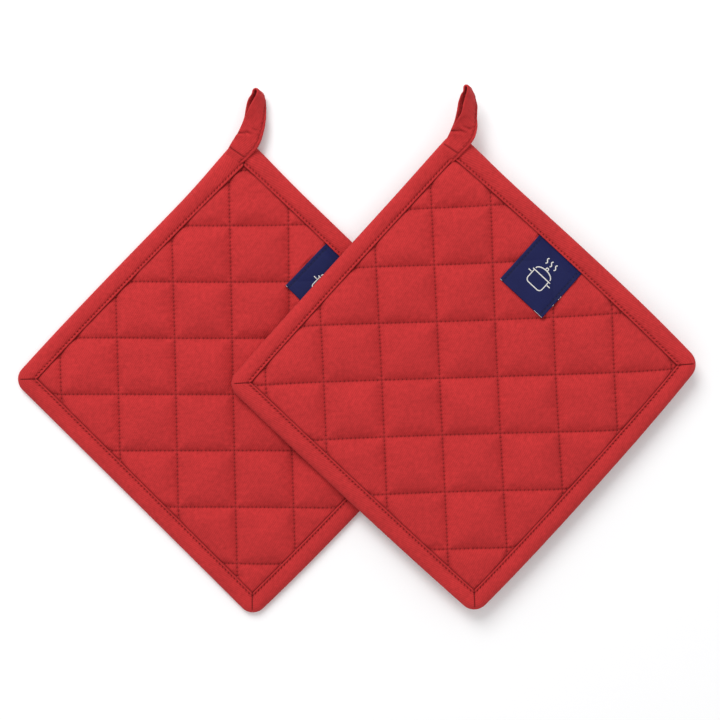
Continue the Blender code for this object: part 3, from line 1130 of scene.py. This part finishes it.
def tape_place(holder, side, share, bend, depth):
    """u and v on the binding: share runs from -1 to 1 along a side, and bend from 0 to 1
    round the corner at its far end. Side 0 is the upper right one and they go clockwise."""
    reach, radius = tape_reach(depth)
    angle = (1 - bend) * math.pi / 2
    rounding = bend > 0
    x = np.where(rounding, reach + radius * np.cos(angle), share * reach)
    y = np.where(rounding, reach + radius * np.sin(angle), HALF - depth)
    c = np.array([1, 0, -1, 0])[side]
    s = np.array([0, -1, 0, 1])[side]
    along, out = x * c - y * s, x * s + y * c
    top_corner = np.hypot(along + HALF, out - HALF)
    pull = (1 - np.clip(depth / TAPE_WIDTH, 0, 1)) * bell(top_corner, PULL_REACH)
    pull_along, pull_out = CORNER_PULL[holder.side]
    return square_place(along + pull_along * pull, out + pull_out * pull)


def mitre_distance(u, v):
    """Signed distance from the nearest diagonal of the square, positive clockwise of it."""
    along, out = on_square(u, v)
    right_way = np.where(along > 0, 1, -1)
    up_way = np.where(out > 0, 1, -1)
    away = np.where(right_way == up_way, (along - out) * right_way, (along + out) * up_way)
    return away / math.sqrt(2)


def tape_stations(sizes):
    """Side, share, bend and stitch phase at each station round the binding."""
    reach, _ = tape_reach(sizes.topstitch)
    stitches = round(2 * float(reach) / sizes.stitch)
    straight = np.linspace(-1, 1, STITCH_STATIONS * stitches + 1)
    # The stations round a corner lie closer together near its mitre
    ease = np.linspace(-1, 1, CORNER_STEPS + 1)[1:-1]
    bends = 0.5 + 0.5 * np.sign(ease) * np.abs(ease) ** 1.7
    rows = []
    for side in range(4):
        rows += [(side, share, 0.0, (share + 1) / 2 * stitches) for share in straight]
        rows += [(side, 1.0, bend, 0.0) for bend in bends]
    return np.array(rows)


def tape_relief(holder, sizes, u, v, run, depth, phase, straight):
    """Height that puffing, stitches and mitres give the tape, and its painted shade in stitch holes and
    mitre creases.
    """
    on_band = smooth(depth, *BAND_RISE) * (1 - smooth(depth, *BAND_FALL))
    places = np.column_stack([run, depth])
    wave = lumps(places, 9.0 * MM, 20 + holder.seed * 7) * 0.32 + lumps(places, 3.4 * MM, 24) * 0.13
    from_seam = depth - sizes.topstitch
    pull = np.cos(2 * math.pi * phase) * straight * bell(from_seam, TAPE_PULL_WIDTH)
    from_hole = (phase - np.round(phase)) * sizes.stitch
    hole = bell(from_hole, TAPE_HOLE_WIDTH) * bell(from_seam, TAPE_HOLE_WIDTH) * straight
    away = mitre_distance(u, v)
    mitred = smooth(depth, *MITRE_INSETS)
    crease = bell(away, MITRE_WIDTH) * mitred
    flap = np.where(away < 0, np.exp(np.minimum(away, 0) / FLAP_REACH), 0.0) * mitred
    relief = wave * MM * on_band - TAPE_PULL_DEPTH * pull - TAPE_HOLE_DEPTH * hole
    relief = relief - MITRE_DEPTH * crease
    relief = relief + FLAP_RISE * flap * smooth(np.abs(away), 0.0, FLAP_EDGE)
    # Painted shade: darker in the stitch holes and along the mitre creases
    return relief, np.maximum(hole, crease * 0.85)


def binding_mesh(name, holder, sizes):
    """The folded tape: puffed between its edge and its stitches, mitred at the corners."""
    stations = tape_stations(sizes)
    outer = spline(TAPE_ABOVE + TAPE_BELOW, TAPE_AROUND)
    section = np.vstack([outer, TAPE_INSIDE]) * MM
    around = len(section)
    side = np.repeat(stations[:, 0].astype(int), around)
    share, bend, phase = (np.repeat(stations[:, k], around) for k in (1, 2, 3))
    depth = np.tile(section[:, 0], len(stations))
    height = np.tile(section[:, 1], len(stations))
    skin = np.tile(np.arange(around) < TAPE_AROUND, len(stations))
    above = height > TAPE_TOP / 2
    u, v = tape_place(holder, side, share, bend, depth)
    run = (side + 0.5 + share / 2) * SIDE
    relief, painted_shade = tape_relief(holder, sizes, u, v, run, depth, phase, bend == 0)
    relief = relief * skin
    height = height + np.where(above, relief, -UNDER_RELIEF * relief)
    height = np.maximum(height, LOWEST_TAPE)
    points = holder.to_world(np.column_stack([u, v, height]))
    steps = np.diff(section, axis=0, prepend=section[:1])
    girth = np.tile(np.cumsum(np.hypot(*steps.T)), len(stations))
    cloth = np.column_stack([run, girth, np.full(len(run), 3 + holder.seed)])
    # The painted shade of holes and creases stays on the tape's outer skin
    mesh = make_mesh(name, points, ring_faces(len(stations), around, True), cloth, painted_shade * skin)
    face_outward(mesh)
    return mesh


def binding_stitches(holder, sizes, surface, from_above):
    """The row of stitches round the binding, on its face or on its back."""
    reach, _ = tape_reach(sizes.topstitch)
    count = round(2 * float(reach) / sizes.stitch)
    holes = np.linspace(-1, 1, count + 1)
    up = (0, 0, 1 if from_above else -1)
    stitches = []
    for side in range(4):
        inset = np.full(len(holes), sizes.topstitch)
        u, v = tape_place(holder, np.full(len(holes), side), holes, np.zeros(len(holes)), inset)
        places = holder.to_world(np.column_stack([u, v, np.zeros(len(u))]))
        stitches += laid_stitches(places, surface, up, sizes.thread)
    return stitches


def laid_stitches(places, surface, up, radius):
    """Stitches from place to place, laid on a surface."""
    stitches = []
    for first, second in zip(places, places[1:]):
        dip = (second - first) * STITCH_DIP
        first, second = first + dip, second - dip
        heights = [height_on(surface, p, up[2] > 0) for p in (first, second)]
        if None in heights:
            continue
        sunk = up[2] * STITCH_SINK * radius
        ends = [(*p[:2], h - sunk) for p, h in zip((first, second), heights)]
        stitches.append((*ends, up))
    return stitches


class POTHOLDER_OT_binding(Operator):
    """Bind the edges with folded tape and stitch it down"""

    bl_idname = "potholder.bind_edges"
    bl_label = "Bind Edges"

    def execute(self, context):
        sizes = context.scene.potholder_sizes
        tape, thread = tape_material(context), thread_material(context)
        for holder in HOLDERS:
            name = f"{holder.side}_bias_edge"
            piece = add_piece(binding_mesh(name, holder, sizes), tape)
            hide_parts(f"{holder.side}_binding")
            surface = surface_of(name)
            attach(piece, holder.body)
            rows = binding_stitches(holder, sizes, surface, True)
            rows += binding_stitches(holder, sizes, surface, False)
            mesh = stitch_mesh(f"{holder.side}_edge_stitches", rows, sizes.thread, STITCH_BULGE)
            piece = add_piece(mesh, thread)
            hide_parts(f"{holder.side}_binding_thread")
            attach(piece, holder.body)
        return {"FINISHED"}


# Quilting thread ----------------------------------------------------------------------------

def quilting_stitches(holder, sizes, surface, from_above):
    """Every stitch of the rows that run from corner to corner, both ways."""
    up = (0, 0, 1 if from_above else -1)
    stitches = []
    for flip, pitch, shift, stretch, step, start in (
        (False, sizes.pitch_across, holder.shift[0], BIAS_STRETCH, sizes.pitch_up, holder.shift[1]),
        (True, sizes.pitch_up, holder.shift[1], 1 / BIAS_STRETCH, sizes.pitch_across, holder.shift[0]),
    ):
        stitch = HOLE_STEPS * step / GRID_STEPS
        for offset, reach in rows_at(pitch, shift, stretch):
            first = math.ceil((-reach - start) / stitch)
            last = math.floor((reach - start) / stitch)
            holes = start + np.arange(first, last + 1) * stitch
            line = np.full(len(holes), offset)
            u, v = (holes, line) if flip else (line, holes)
            shown = label_share(u, v, 0.1 * MM) < 0.5 if from_above else np.full(len(u), True)
            places = holder.to_world(np.column_stack([u, v, np.zeros(len(u))]))
            for k in range(len(holes) - 1):
                if shown[k] and shown[k + 1]:
                    stitches += laid_stitches(places[k:k + 2], surface, up, sizes.thread)
    return stitches


class POTHOLDER_OT_quilting(Operator):
    """Sew the quilting rows"""

    bl_idname = "potholder.sew_quilting"
    bl_label = "Sew Quilting"

    def execute(self, context):
        sizes = context.scene.potholder_sizes
        for holder in HOLDERS:
            stitches = []
            for part, from_above in (("face", True), ("back", False)):
                surface = surface_of(f"{holder.side}_quilted_{part}")
                stitches += quilting_stitches(holder, sizes, surface, from_above)
            mesh = stitch_mesh(f"{holder.side}_quilting", stitches, sizes.thread, FULL_BULGE)
            piece = add_piece(mesh, quilting_material(context))
            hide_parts(f"{holder.side}_quilting_thread")
            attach(piece, holder.body)
        return {"FINISHED"}


# Label --------------------------------------------------------------------------------------

LABEL_ROWS = {"upper": 2.2 * MM, "lower": LABEL_LENGTH - 2.2 * MM}
LABEL_STEP = 0.4 * MM
MOTIF_INSET = 17.8 * MM
# Half the width of the motif's threads and of the loose ends, in millimetres
MOTIF_HALF_WIDTH = 0.34
LOOSE_HALF_WIDTH = 0.10
# Section of a motif thread: across in half widths, and height over the label in millimetres
MOTIF_SECTION = ((-1, -0.05), (-0.8, 0.07), (0.8, 0.07), (1, -0.05))
LABEL_GROOVE_DEPTH = 0.16 * MM
LABEL_GROOVE_WIDTH = 0.6 * MM
LABEL_THICKNESS = 0.26 * MM
LABEL_EDGE = 0.10 * MM
LABEL_RIPPLE = 0.10 * MM
HEM_INSETS = (3.4 * MM, 3.0 * MM)
HEM_RISE = 0.14 * MM
CURL_REACH = 2.5 * MM
CURL_RISE = 0.35 * MM


def label_height(holder, sizes, start, inset):
    """Height of the label's face at a distance from its upper side and from the square's edge."""
    u, v = square_place(LABEL_START + start, HALF - inset)
    height = label_bed(holder, sizes, u, v) + (0.10 + 0.20 * smooth(inset, 10.4 * MM, 12.0 * MM)) * MM
    for row in LABEL_ROWS.values():
        groove = bell(start - row, LABEL_GROOVE_WIDTH) * smooth(inset, 10 * MM, 13 * MM)
        height = height - LABEL_GROOVE_DEPTH * groove
    end = TAPE_WIDTH + LABEL_DEPTH
    hem = smooth(inset, end - HEM_INSETS[0], end - HEM_INSETS[1]) * HEM_RISE
    curl = smooth(inset, end - CURL_REACH, end) * CURL_RISE * smooth(start, 24 * MM, LABEL_LENGTH)
    return height + hem + curl


def label_mesh(name, holder, sizes):
    """The label as a thin closed sheet."""
    first = TAPE_WIDTH - LABEL_TUCK
    end = TAPE_WIDTH + LABEL_DEPTH
    columns = np.linspace(0, LABEL_LENGTH, round(LABEL_LENGTH / LABEL_STEP) + 1)
    rows = np.linspace(first, end, round((end - first) / LABEL_STEP) + 1)
    start, inset = (a.ravel() for a in np.meshgrid(columns, rows, indexing="ij"))
    ripple = lumps(np.column_stack([start, inset]), 8 * MM, 40 + holder.seed) * LABEL_RIPPLE
    rim = np.minimum.reduce([start, LABEL_LENGTH - start, end - inset])
    rounded = LABEL_EDGE * (1 - smooth(rim, 0.0, 0.5 * MM))
    height = label_height(holder, sizes, start, inset) + ripple * smooth(inset, 12 * MM, 18 * MM)
    u, v = square_place(LABEL_START + start, HALF - inset)
    underside = height - LABEL_THICKNESS * smooth(inset, 9.0 * MM, 12.0 * MM) - 0.06 * MM
    upper = np.column_stack([u, v, height - rounded])
    lower = np.column_stack([u, v, underside])
    faces = slab_faces((len(columns), len(rows)))
    # Painted shade in the stitch holes of the label's two rows
    painted_shade = np.zeros(len(u))
    for row in LABEL_ROWS.values():
        phase = (inset / sizes.stitch) % 1 - 0.5
        painted_shade = np.maximum(painted_shade, bell(start - row, 0.45 * MM) * bell(phase * sizes.stitch, 0.5 * MM))
    cloth = np.column_stack([start, inset, np.full(len(u), 5 + holder.seed)])
    mesh = make_mesh(name, holder.to_world(np.vstack([upper, lower])), faces,
                     np.vstack([cloth, cloth]), np.concatenate([painted_shade, painted_shade]))
    face_outward(mesh)
    return mesh


def arc(centre, radius, first, last, steps=14):
    """Points of an arc, angles in degrees, counter-clockwise from the right."""
    angles = np.radians(np.linspace(first, last, steps))
    return [(centre[0] + radius[0] * math.cos(a), centre[1] + radius[1] * math.sin(a)) for a in angles]


def pot_motif():
    """Lines of a plain cooking pot with steam, in millimetres from the label's middle."""
    left_foot = arc((-3.4, -4.2), (2.2, 2.2), 180, 270)
    right_foot = arc((3.4, -4.2), (2.2, 2.2), 270, 360)
    body = [(-5.6, 1.2), *left_foot, *right_foot, (5.6, 1.2)]
    brim = [(x, 1.2) for x in np.linspace(-6.8, 6.8, 12)]
    lid = arc((0, 2.2), (5.6, 2.9), 180, 0, 20)
    knob = arc((0, 5.9), (0.8, 0.8), 0, 360, 16)
    grips = [[(side * x, -0.8) for x in np.linspace(6.1, 8.4, 5)] for side in (-1, 1)]
    steam = [
        [(x + 0.6 * math.sin(t * 2 * math.pi), 7.9 + 3.4 * t) for t in np.linspace(0, 1, 18)]
        for x in (-3.2, 0.0, 3.2)
    ]
    strokes = [body, brim, lid, knob, *grips, *steam]
    return [(stroke, MOTIF_HALF_WIDTH) for stroke in strokes]


def cut_edges():
    """Pale ends of the warp that show at the label's cut edge, in the same measure."""
    far = MOTIF_INSET / MM - LABEL_DEPTH / MM + 0.2
    side = LABEL_LENGTH / MM / 2 - 0.15
    slivers = [[(x, far) for x in np.linspace(side - 6.4, side, 9)], [(-side, far), (1.4 - side, far)]]
    slivers += [[(side, far + start), (side, far + start + 1.1)] for start in (9.0, 13.6, 15.2)]
    return [(sliver, LOOSE_HALF_WIDTH) for sliver in slivers]


def motif_mesh(name, holder, surface):
    """Each line of the motif as a flat raised thread on the label."""
    points, faces, cloth = [], [], []
    middle = (LABEL_LENGTH / 2, TAPE_WIDTH + MOTIF_INSET)
    for line, half_width in pot_motif() + cut_edges():
        path = np.array(line) * MM
        half = half_width * MM
        run = np.gradient(path, axis=0)
        run /= np.linalg.norm(run, axis=1, keepdims=True)
        side = np.column_stack([-run[:, 1], run[:, 0]])
        for (x, y), across in zip(path, side):
            for offset, lift in MOTIF_SECTION:
                start = middle[0] + x + across[0] * half * offset
                inset = middle[1] - y - across[1] * half * offset
                u, v = square_place(LABEL_START + start, HALF - inset)
                place = holder.to_world([(u, v, 0.0)])[0]
                points.append((place[0], place[1], height_on(surface, place) + lift * MM))
                cloth.append((start, inset, 7.0))
        first = len(points) - 4 * len(path)
        faces += (ring_faces(len(path), 4, False) + first).tolist()
        faces.append([first + k for k in range(4)])
        faces.append([len(points) - 4 + k for k in range(4)])
    mesh = make_mesh(name, points, faces, cloth)
    face_outward(mesh)
    return mesh


class POTHOLDER_OT_labels(Operator):
    """Sew on the woven labels"""

    bl_idname = "potholder.sew_labels"
    bl_label = "Sew Labels"

    def execute(self, context):
        sizes, colours = context.scene.potholder_sizes, context.scene.potholder_colours
        satin = finish_material("navy_satin", woven_satin, colours.label[:], 0.5)
        cream = finish_material("cream_weft", woven_satin, colours.motif[:], 0.6)
        thread = finish_material("navy_thread", spun_thread, colours.label_thread[:])
        for holder in HOLDERS:
            side = holder.side
            name = f"{side}_tag"
            piece = add_piece(label_mesh(name, holder, sizes), satin)
            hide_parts(f"{side}_label")
            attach(piece, holder.body)
            surface = surface_of(name)
            motif = add_piece(motif_mesh(f"{side}_tag_motif", holder, surface), cream)
            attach(motif, holder.body)
            for row, start in LABEL_ROWS.items():
                insets = np.arange(TAPE_WIDTH + 0.2 * MM, TAPE_WIDTH + LABEL_DEPTH, sizes.stitch)
                u, v = square_place(LABEL_START + start, HALF - insets)
                places = holder.to_world(np.column_stack([u, v, np.zeros(len(u))]))
                stitches = laid_stitches(places, surface, (0, 0, 1), sizes.thread)
                mesh = stitch_mesh(f"{side}_tag_stitches_{row}", stitches, sizes.thread, STITCH_BULGE)
                stitched = add_piece(mesh, thread)
                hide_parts(f"{side}_label_thread_{row}")
                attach(stitched, holder.body)
        return {"FINISHED"}


# Hanging loop -------------------------------------------------------------------------------

LOOP_AROUND = 30
LOOP_STATIONS = 96
LOOP_LIP = 1.9 * MM
LOOP_CROWN = 0.35 * MM
# How square the tape's section is: 1 is an ellipse and less is squarer
LOOP_SQUARENESS = 0.55
LOOP_HOLE_WIDTH = 0.45 * MM
TACK_WIDTH = 0.4 * MM
TACK_DEPTH = 0.4 * MM
# Heights on the upper leg in millimetres
LOOP_BULGE = 0.7
LOOP_CREASE_DEPTH = 1.2
LOOP_GROOVE_DEPTH = 0.32
LOOP_HOLE_DEPTH = 0.18
# The part of a stitch's length that shows on the lip
LIP_STITCH = (0.12, 0.88)
# The tack row starts at this share of the tape's half width
TACK_START = -0.92
# Length of a tack stitch, as a share of the others
TACK_STITCH = 0.85


def loop_section():
    """Places round the tape's section: across from -1 to 1 and through from -1 to 1."""
    angles = np.linspace(0, 2 * math.pi, LOOP_AROUND, endpoint=False)
    across = np.sign(np.cos(angles)) * np.abs(np.cos(angles)) ** LOOP_SQUARENESS
    through = np.sign(np.sin(angles)) * np.abs(np.sin(angles)) ** LOOP_SQUARENESS
    return across, through


def loop_path(side):
    """The tape's middle line up the upper leg, over the tip and back down the lower leg, with
    the directions across it and through it, its width, and the distance run."""
    rows = spline(LOOP_LINES[side], LOOP_STATIONS)
    crest = rows[:, :3] * MM
    roll = np.radians(rows[:, 3])
    gap, width = rows[:, 4] * MM, rows[:, 5] * MM
    ahead = np.gradient(crest, axis=0)
    ahead /= np.linalg.norm(ahead, axis=1, keepdims=True)
    right = np.cross(ahead, (0, 0, 1))
    right /= np.linalg.norm(right, axis=1, keepdims=True)
    top = np.cross(right, ahead)
    c, s = np.cos(roll)[:, None], np.sin(roll)[:, None]
    across = right * c - top * s
    through = top * c + right * s
    below = crest - through * gap[:, None]
    middle = (crest[-1] + below[-1]) / 2
    radius = gap[-1] / 2
    turns = np.linspace(0, math.pi, 12)[1:-1, None]
    tip = middle + radius * (through[-1] * np.cos(turns) + ahead[-1] * np.sin(turns) * 1.3)
    tip_through = through[-1] * np.cos(turns) + ahead[-1] * np.sin(turns)
    line = np.vstack([crest, tip, below[::-1]])
    across = np.vstack([across, np.repeat(across[-1:], len(tip), axis=0), across[::-1]])
    through = np.vstack([through, tip_through, -through[::-1]])
    width = np.concatenate([width, np.full(len(tip), width[-1]), width[::-1]])
    run = np.concatenate([[0], np.cumsum(np.linalg.norm(np.diff(line, axis=0), axis=1))])
    return line, across, through, width, run


def loop_mesh(name, holder, sizes):
    """The loop: tape rolled over as it rises, with a stitched lip on its right edge."""
    line, across, through, width, run = loop_path(holder.side)
    flat, deep = loop_section()
    count, around = len(line), LOOP_AROUND
    w = np.repeat(width, around) / 2
    s = np.repeat(run, around)
    a = np.tile(flat, count)
    d = np.tile(deep, count)
    x = a * w
    outside = d > 0
    crown = LOOP_CROWN * (1 - a**2)
    groove = bell(w - LOOP_LIP - x, LOOP_HOLE_WIDTH)
    phase = s / sizes.stitch
    hole = bell((phase - np.round(phase)) * sizes.stitch, LOOP_HOLE_WIDTH) * groove
    crease_at, slant = LOOP_CREASES[holder.side]
    crease_line = s - crease_at - slant * x
    crease = bell(crease_line, 0.6 * MM) * (1 - smooth(a, 0.2, 0.8))
    bulge = bell(crease_line + 2.4 * MM, 2.0 * MM) * (1 - smooth(a, 0.2, 0.9))
    places = np.column_stack([s, x])
    wrinkle = lumps(places, 5.0 * MM, 60 + holder.seed) * 0.35 + lumps(places, 2.2 * MM, 64) * 0.12
    thick = LOOP_TAPE / 2 * d + np.where(outside, 1, 0.4) * crown * (d != 0)
    thick = thick + wrinkle * MM * 0.8
    dents = LOOP_CREASE_DEPTH * crease + LOOP_GROOVE_DEPTH * groove + LOOP_HOLE_DEPTH * hole
    thick = thick + outside * (LOOP_BULGE * bulge - dents) * MM
    tack = bell(s - LOOP_TACK, TACK_WIDTH) * (x < w - LOOP_LIP) * outside
    thick = thick - TACK_DEPTH * tack
    offset = np.repeat(across, around, axis=0) * x[:, None]
    offset = offset + np.repeat(through, around, axis=0) * thick[:, None]
    points = np.repeat(line, around, axis=0) + offset
    faces = ring_faces(count, around, False).tolist()
    faces.append(list(range(around)))
    faces.append(list(range((count - 1) * around, count * around)))
    # Painted shade in the lip's stitch holes, the fold crease and the tack groove on the upper leg
    painted_shade = np.maximum(np.maximum(hole * 0.9, crease * 0.55) * outside, tack * 0.75)
    cloth = np.column_stack([s, x + d * LOOP_TAPE, np.full(len(s), 9 + holder.seed)])
    mesh = make_mesh(name, holder.to_world(points), faces, cloth, painted_shade)
    face_outward(mesh)
    return mesh


def loop_stitches(holder, sizes):
    """The stitches along the lip of the upper leg."""
    line, across, through, width, run = loop_path(holder.side)
    lip = width / 2 - LOOP_LIP
    rise = LOOP_TAPE / 2 + STITCH_BULGE
    path = holder.to_world(line + across * lip[:, None] + through * rise)
    stitches = []
    for k in range(1, int(run[LOOP_STATIONS - 1] / sizes.stitch)):
        ends = []
        for share in LIP_STITCH:
            distance = (k + share) * sizes.stitch
            ends.append([np.interp(distance, run, path[:, axis]) for axis in range(3)])
        up = [np.interp((k + 0.5) * sizes.stitch, run, through[:, axis]) for axis in range(3)]
        stitches.append((*ends, up))
    return stitches


def tack_stitches(holder, sizes, surface):
    """The short row of stitches across the foot of the loop."""
    line, across, _, width, run = loop_path(holder.side)
    foot = int(np.argmin(np.abs(run - LOOP_TACK)))
    half = width[foot] / 2
    ends = [line[foot] + across[foot] * reach for reach in (TACK_START * half, half - LOOP_LIP)]
    count = round(float(np.linalg.norm(ends[1] - ends[0])) / (TACK_STITCH * sizes.stitch))
    places = holder.to_world([ends[0] + (ends[1] - ends[0]) * k / count for k in range(count + 1)])
    return laid_stitches(places, surface, (0, 0, 1), sizes.thread)


class POTHOLDER_OT_loops(Operator):
    """Form the hanging loops and tack them to the corners"""

    bl_idname = "potholder.form_loops"
    bl_label = "Form Loops"

    def execute(self, context):
        sizes = context.scene.potholder_sizes
        tape, thread = tape_material(context), thread_material(context)
        for holder in HOLDERS:
            side = holder.side
            name = f"{side}_tape_loop"
            piece = add_piece(loop_mesh(name, holder, sizes), tape)
            surface = surface_of(name)
            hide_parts(f"{side}_hanging_loop")
            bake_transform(piece)
            lip = loop_stitches(holder, sizes)
            mesh = stitch_mesh(f"{side}_loop_stitches", lip, sizes.thread, STITCH_BULGE)
            stitched = add_piece(mesh, thread)
            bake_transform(stitched)
            tack = tack_stitches(holder, sizes, surface)
            mesh = stitch_mesh(f"{side}_tack_stitches", tack, sizes.thread, FULL_BULGE)
            tacked = add_piece(mesh, thread)
            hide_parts(f"{side}_loop_tack")
            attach(tacked, holder.body)
        return {"FINISHED"}


# Stage --------------------------------------------------------------------------------------

TABLE_REACH = 3.0
LAMP_SIZE = 1.1
LAMP_PLACE = Vector((-0.55, 1.30, 1.50))
# Where the camera stands, seen from the middle of the pair
CAMERA_ASIDE = (2.9 * MM, -5.9 * MM)


def table_top(finish, colour):
    """Plain matt white table."""
    place = finish.add("ShaderNodeTexCoord").outputs["Object"]
    fine = finish.noise(place, 40.0, 2.0)
    finish.set(Base_Color=finish.dyed(colour, finish.spread(fine, 0.998, 1.002)),
               Roughness=0.9, Specular_IOR_Level=0.1)


class POTHOLDER_OT_stage(Operator):
    """Set up the table, the light and the camera"""

    bl_idname = "potholder.set_stage"
    bl_label = "Set Stage"

    def execute(self, context):
        stage = context.scene.potholder_stage
        scene = context.scene
        low, high = CAD_BOX
        mesh = bpy.data.meshes.new("table_top")
        turns = ((-1, -1), (1, -1), (1, 1), (-1, 1))
        corners = [(x * TABLE_REACH, y * TABLE_REACH, 0) for x, y in turns]
        mesh.from_pydata(corners, [], [(0, 1, 2, 3)])
        mesh.materials.append(finish_material("table_top", table_top, stage.table[:]))
        table = bpy.data.objects.new("table_top", mesh)
        scene.collection.objects.link(table)

        lamp = bpy.data.lights.new("window_light", "AREA")
        lamp.shape = "SQUARE"
        lamp.size = LAMP_SIZE
        lamp.energy = stage.key_power
        light = bpy.data.objects.new("window_light", lamp)
        light.location = LAMP_PLACE
        light.rotation_euler = (-LAMP_PLACE).to_track_quat("-Z", "Y").to_euler()
        scene.collection.objects.link(light)

        world = bpy.data.worlds.new("white_room")
        world.use_nodes = True
        background = world.node_tree.nodes["Background"]
        background.inputs["Color"].default_value = (1, 1, 1, 1)
        background.inputs["Strength"].default_value = stage.sky
        scene.world = world
        scene.view_settings.view_transform = "Standard"

        camera_data = bpy.data.cameras.new("overhead_camera")
        camera_data.angle = stage.view_angle
        camera = bpy.data.objects.new("overhead_camera", camera_data)
        middle = (low + high) / 2
        aside_x, aside_y = CAMERA_ASIDE
        camera.location = (middle.x + aside_x, middle.y + aside_y, stage.camera_height)
        scene.collection.objects.link(camera)
        scene.camera = camera
        return {"FINISHED"}


# Add-on -------------------------------------------------------------------------------------

class POTHOLDER_PT_panel(Panel):
    """Lists the steps of the work"""

    bl_idname = "POTHOLDER_PT_panel"
    bl_label = "Pot Holders"
    bl_space_type = "VIEW_3D"
    bl_region_type = "UI"
    bl_category = "Pot Holders"

    def draw(self, context):
        layout = self.layout
        for group in GROUPS:
            box = layout.box()
            settings = getattr(context.scene, group)
            for name in settings.bl_rna.properties.keys():
                if name not in {"name", "rna_type"}:
                    box.prop(settings, name)
        for operator in OPERATORS:
            layout.operator(operator.bl_idname)


GROUPS = {
    "potholder_sizes": POTHOLDER_PG_sizes,
    "potholder_colours": POTHOLDER_PG_colours,
    "potholder_stage": POTHOLDER_PG_stage,
}
OPERATORS = (
    POTHOLDER_OT_stage,
    POTHOLDER_OT_covers,
    POTHOLDER_OT_filling,
    POTHOLDER_OT_binding,
    POTHOLDER_OT_quilting,
    POTHOLDER_OT_labels,
    POTHOLDER_OT_loops,
)
CLASSES = (*GROUPS.values(), *OPERATORS, POTHOLDER_PT_panel)


def register():
    for cls in CLASSES:
        bpy.utils.register_class(cls)
    for name, group in GROUPS.items():
        setattr(bpy.types.Scene, name, PointerProperty(type=group))


def unregister():
    for name in GROUPS:
        delattr(bpy.types.Scene, name)
    for cls in reversed(CLASSES):
        bpy.utils.unregister_class(cls)


def main():
    """Registers the add-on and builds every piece."""
    register()
    bpy.ops.potholder.set_stage()
    bpy.ops.potholder.sew_covers()
    bpy.ops.potholder.lay_filling()
    bpy.ops.potholder.bind_edges()
    bpy.ops.potholder.sew_quilting()
    bpy.ops.potholder.sew_labels()
    bpy.ops.potholder.form_loops()


if __name__ == "__main__":
    main()
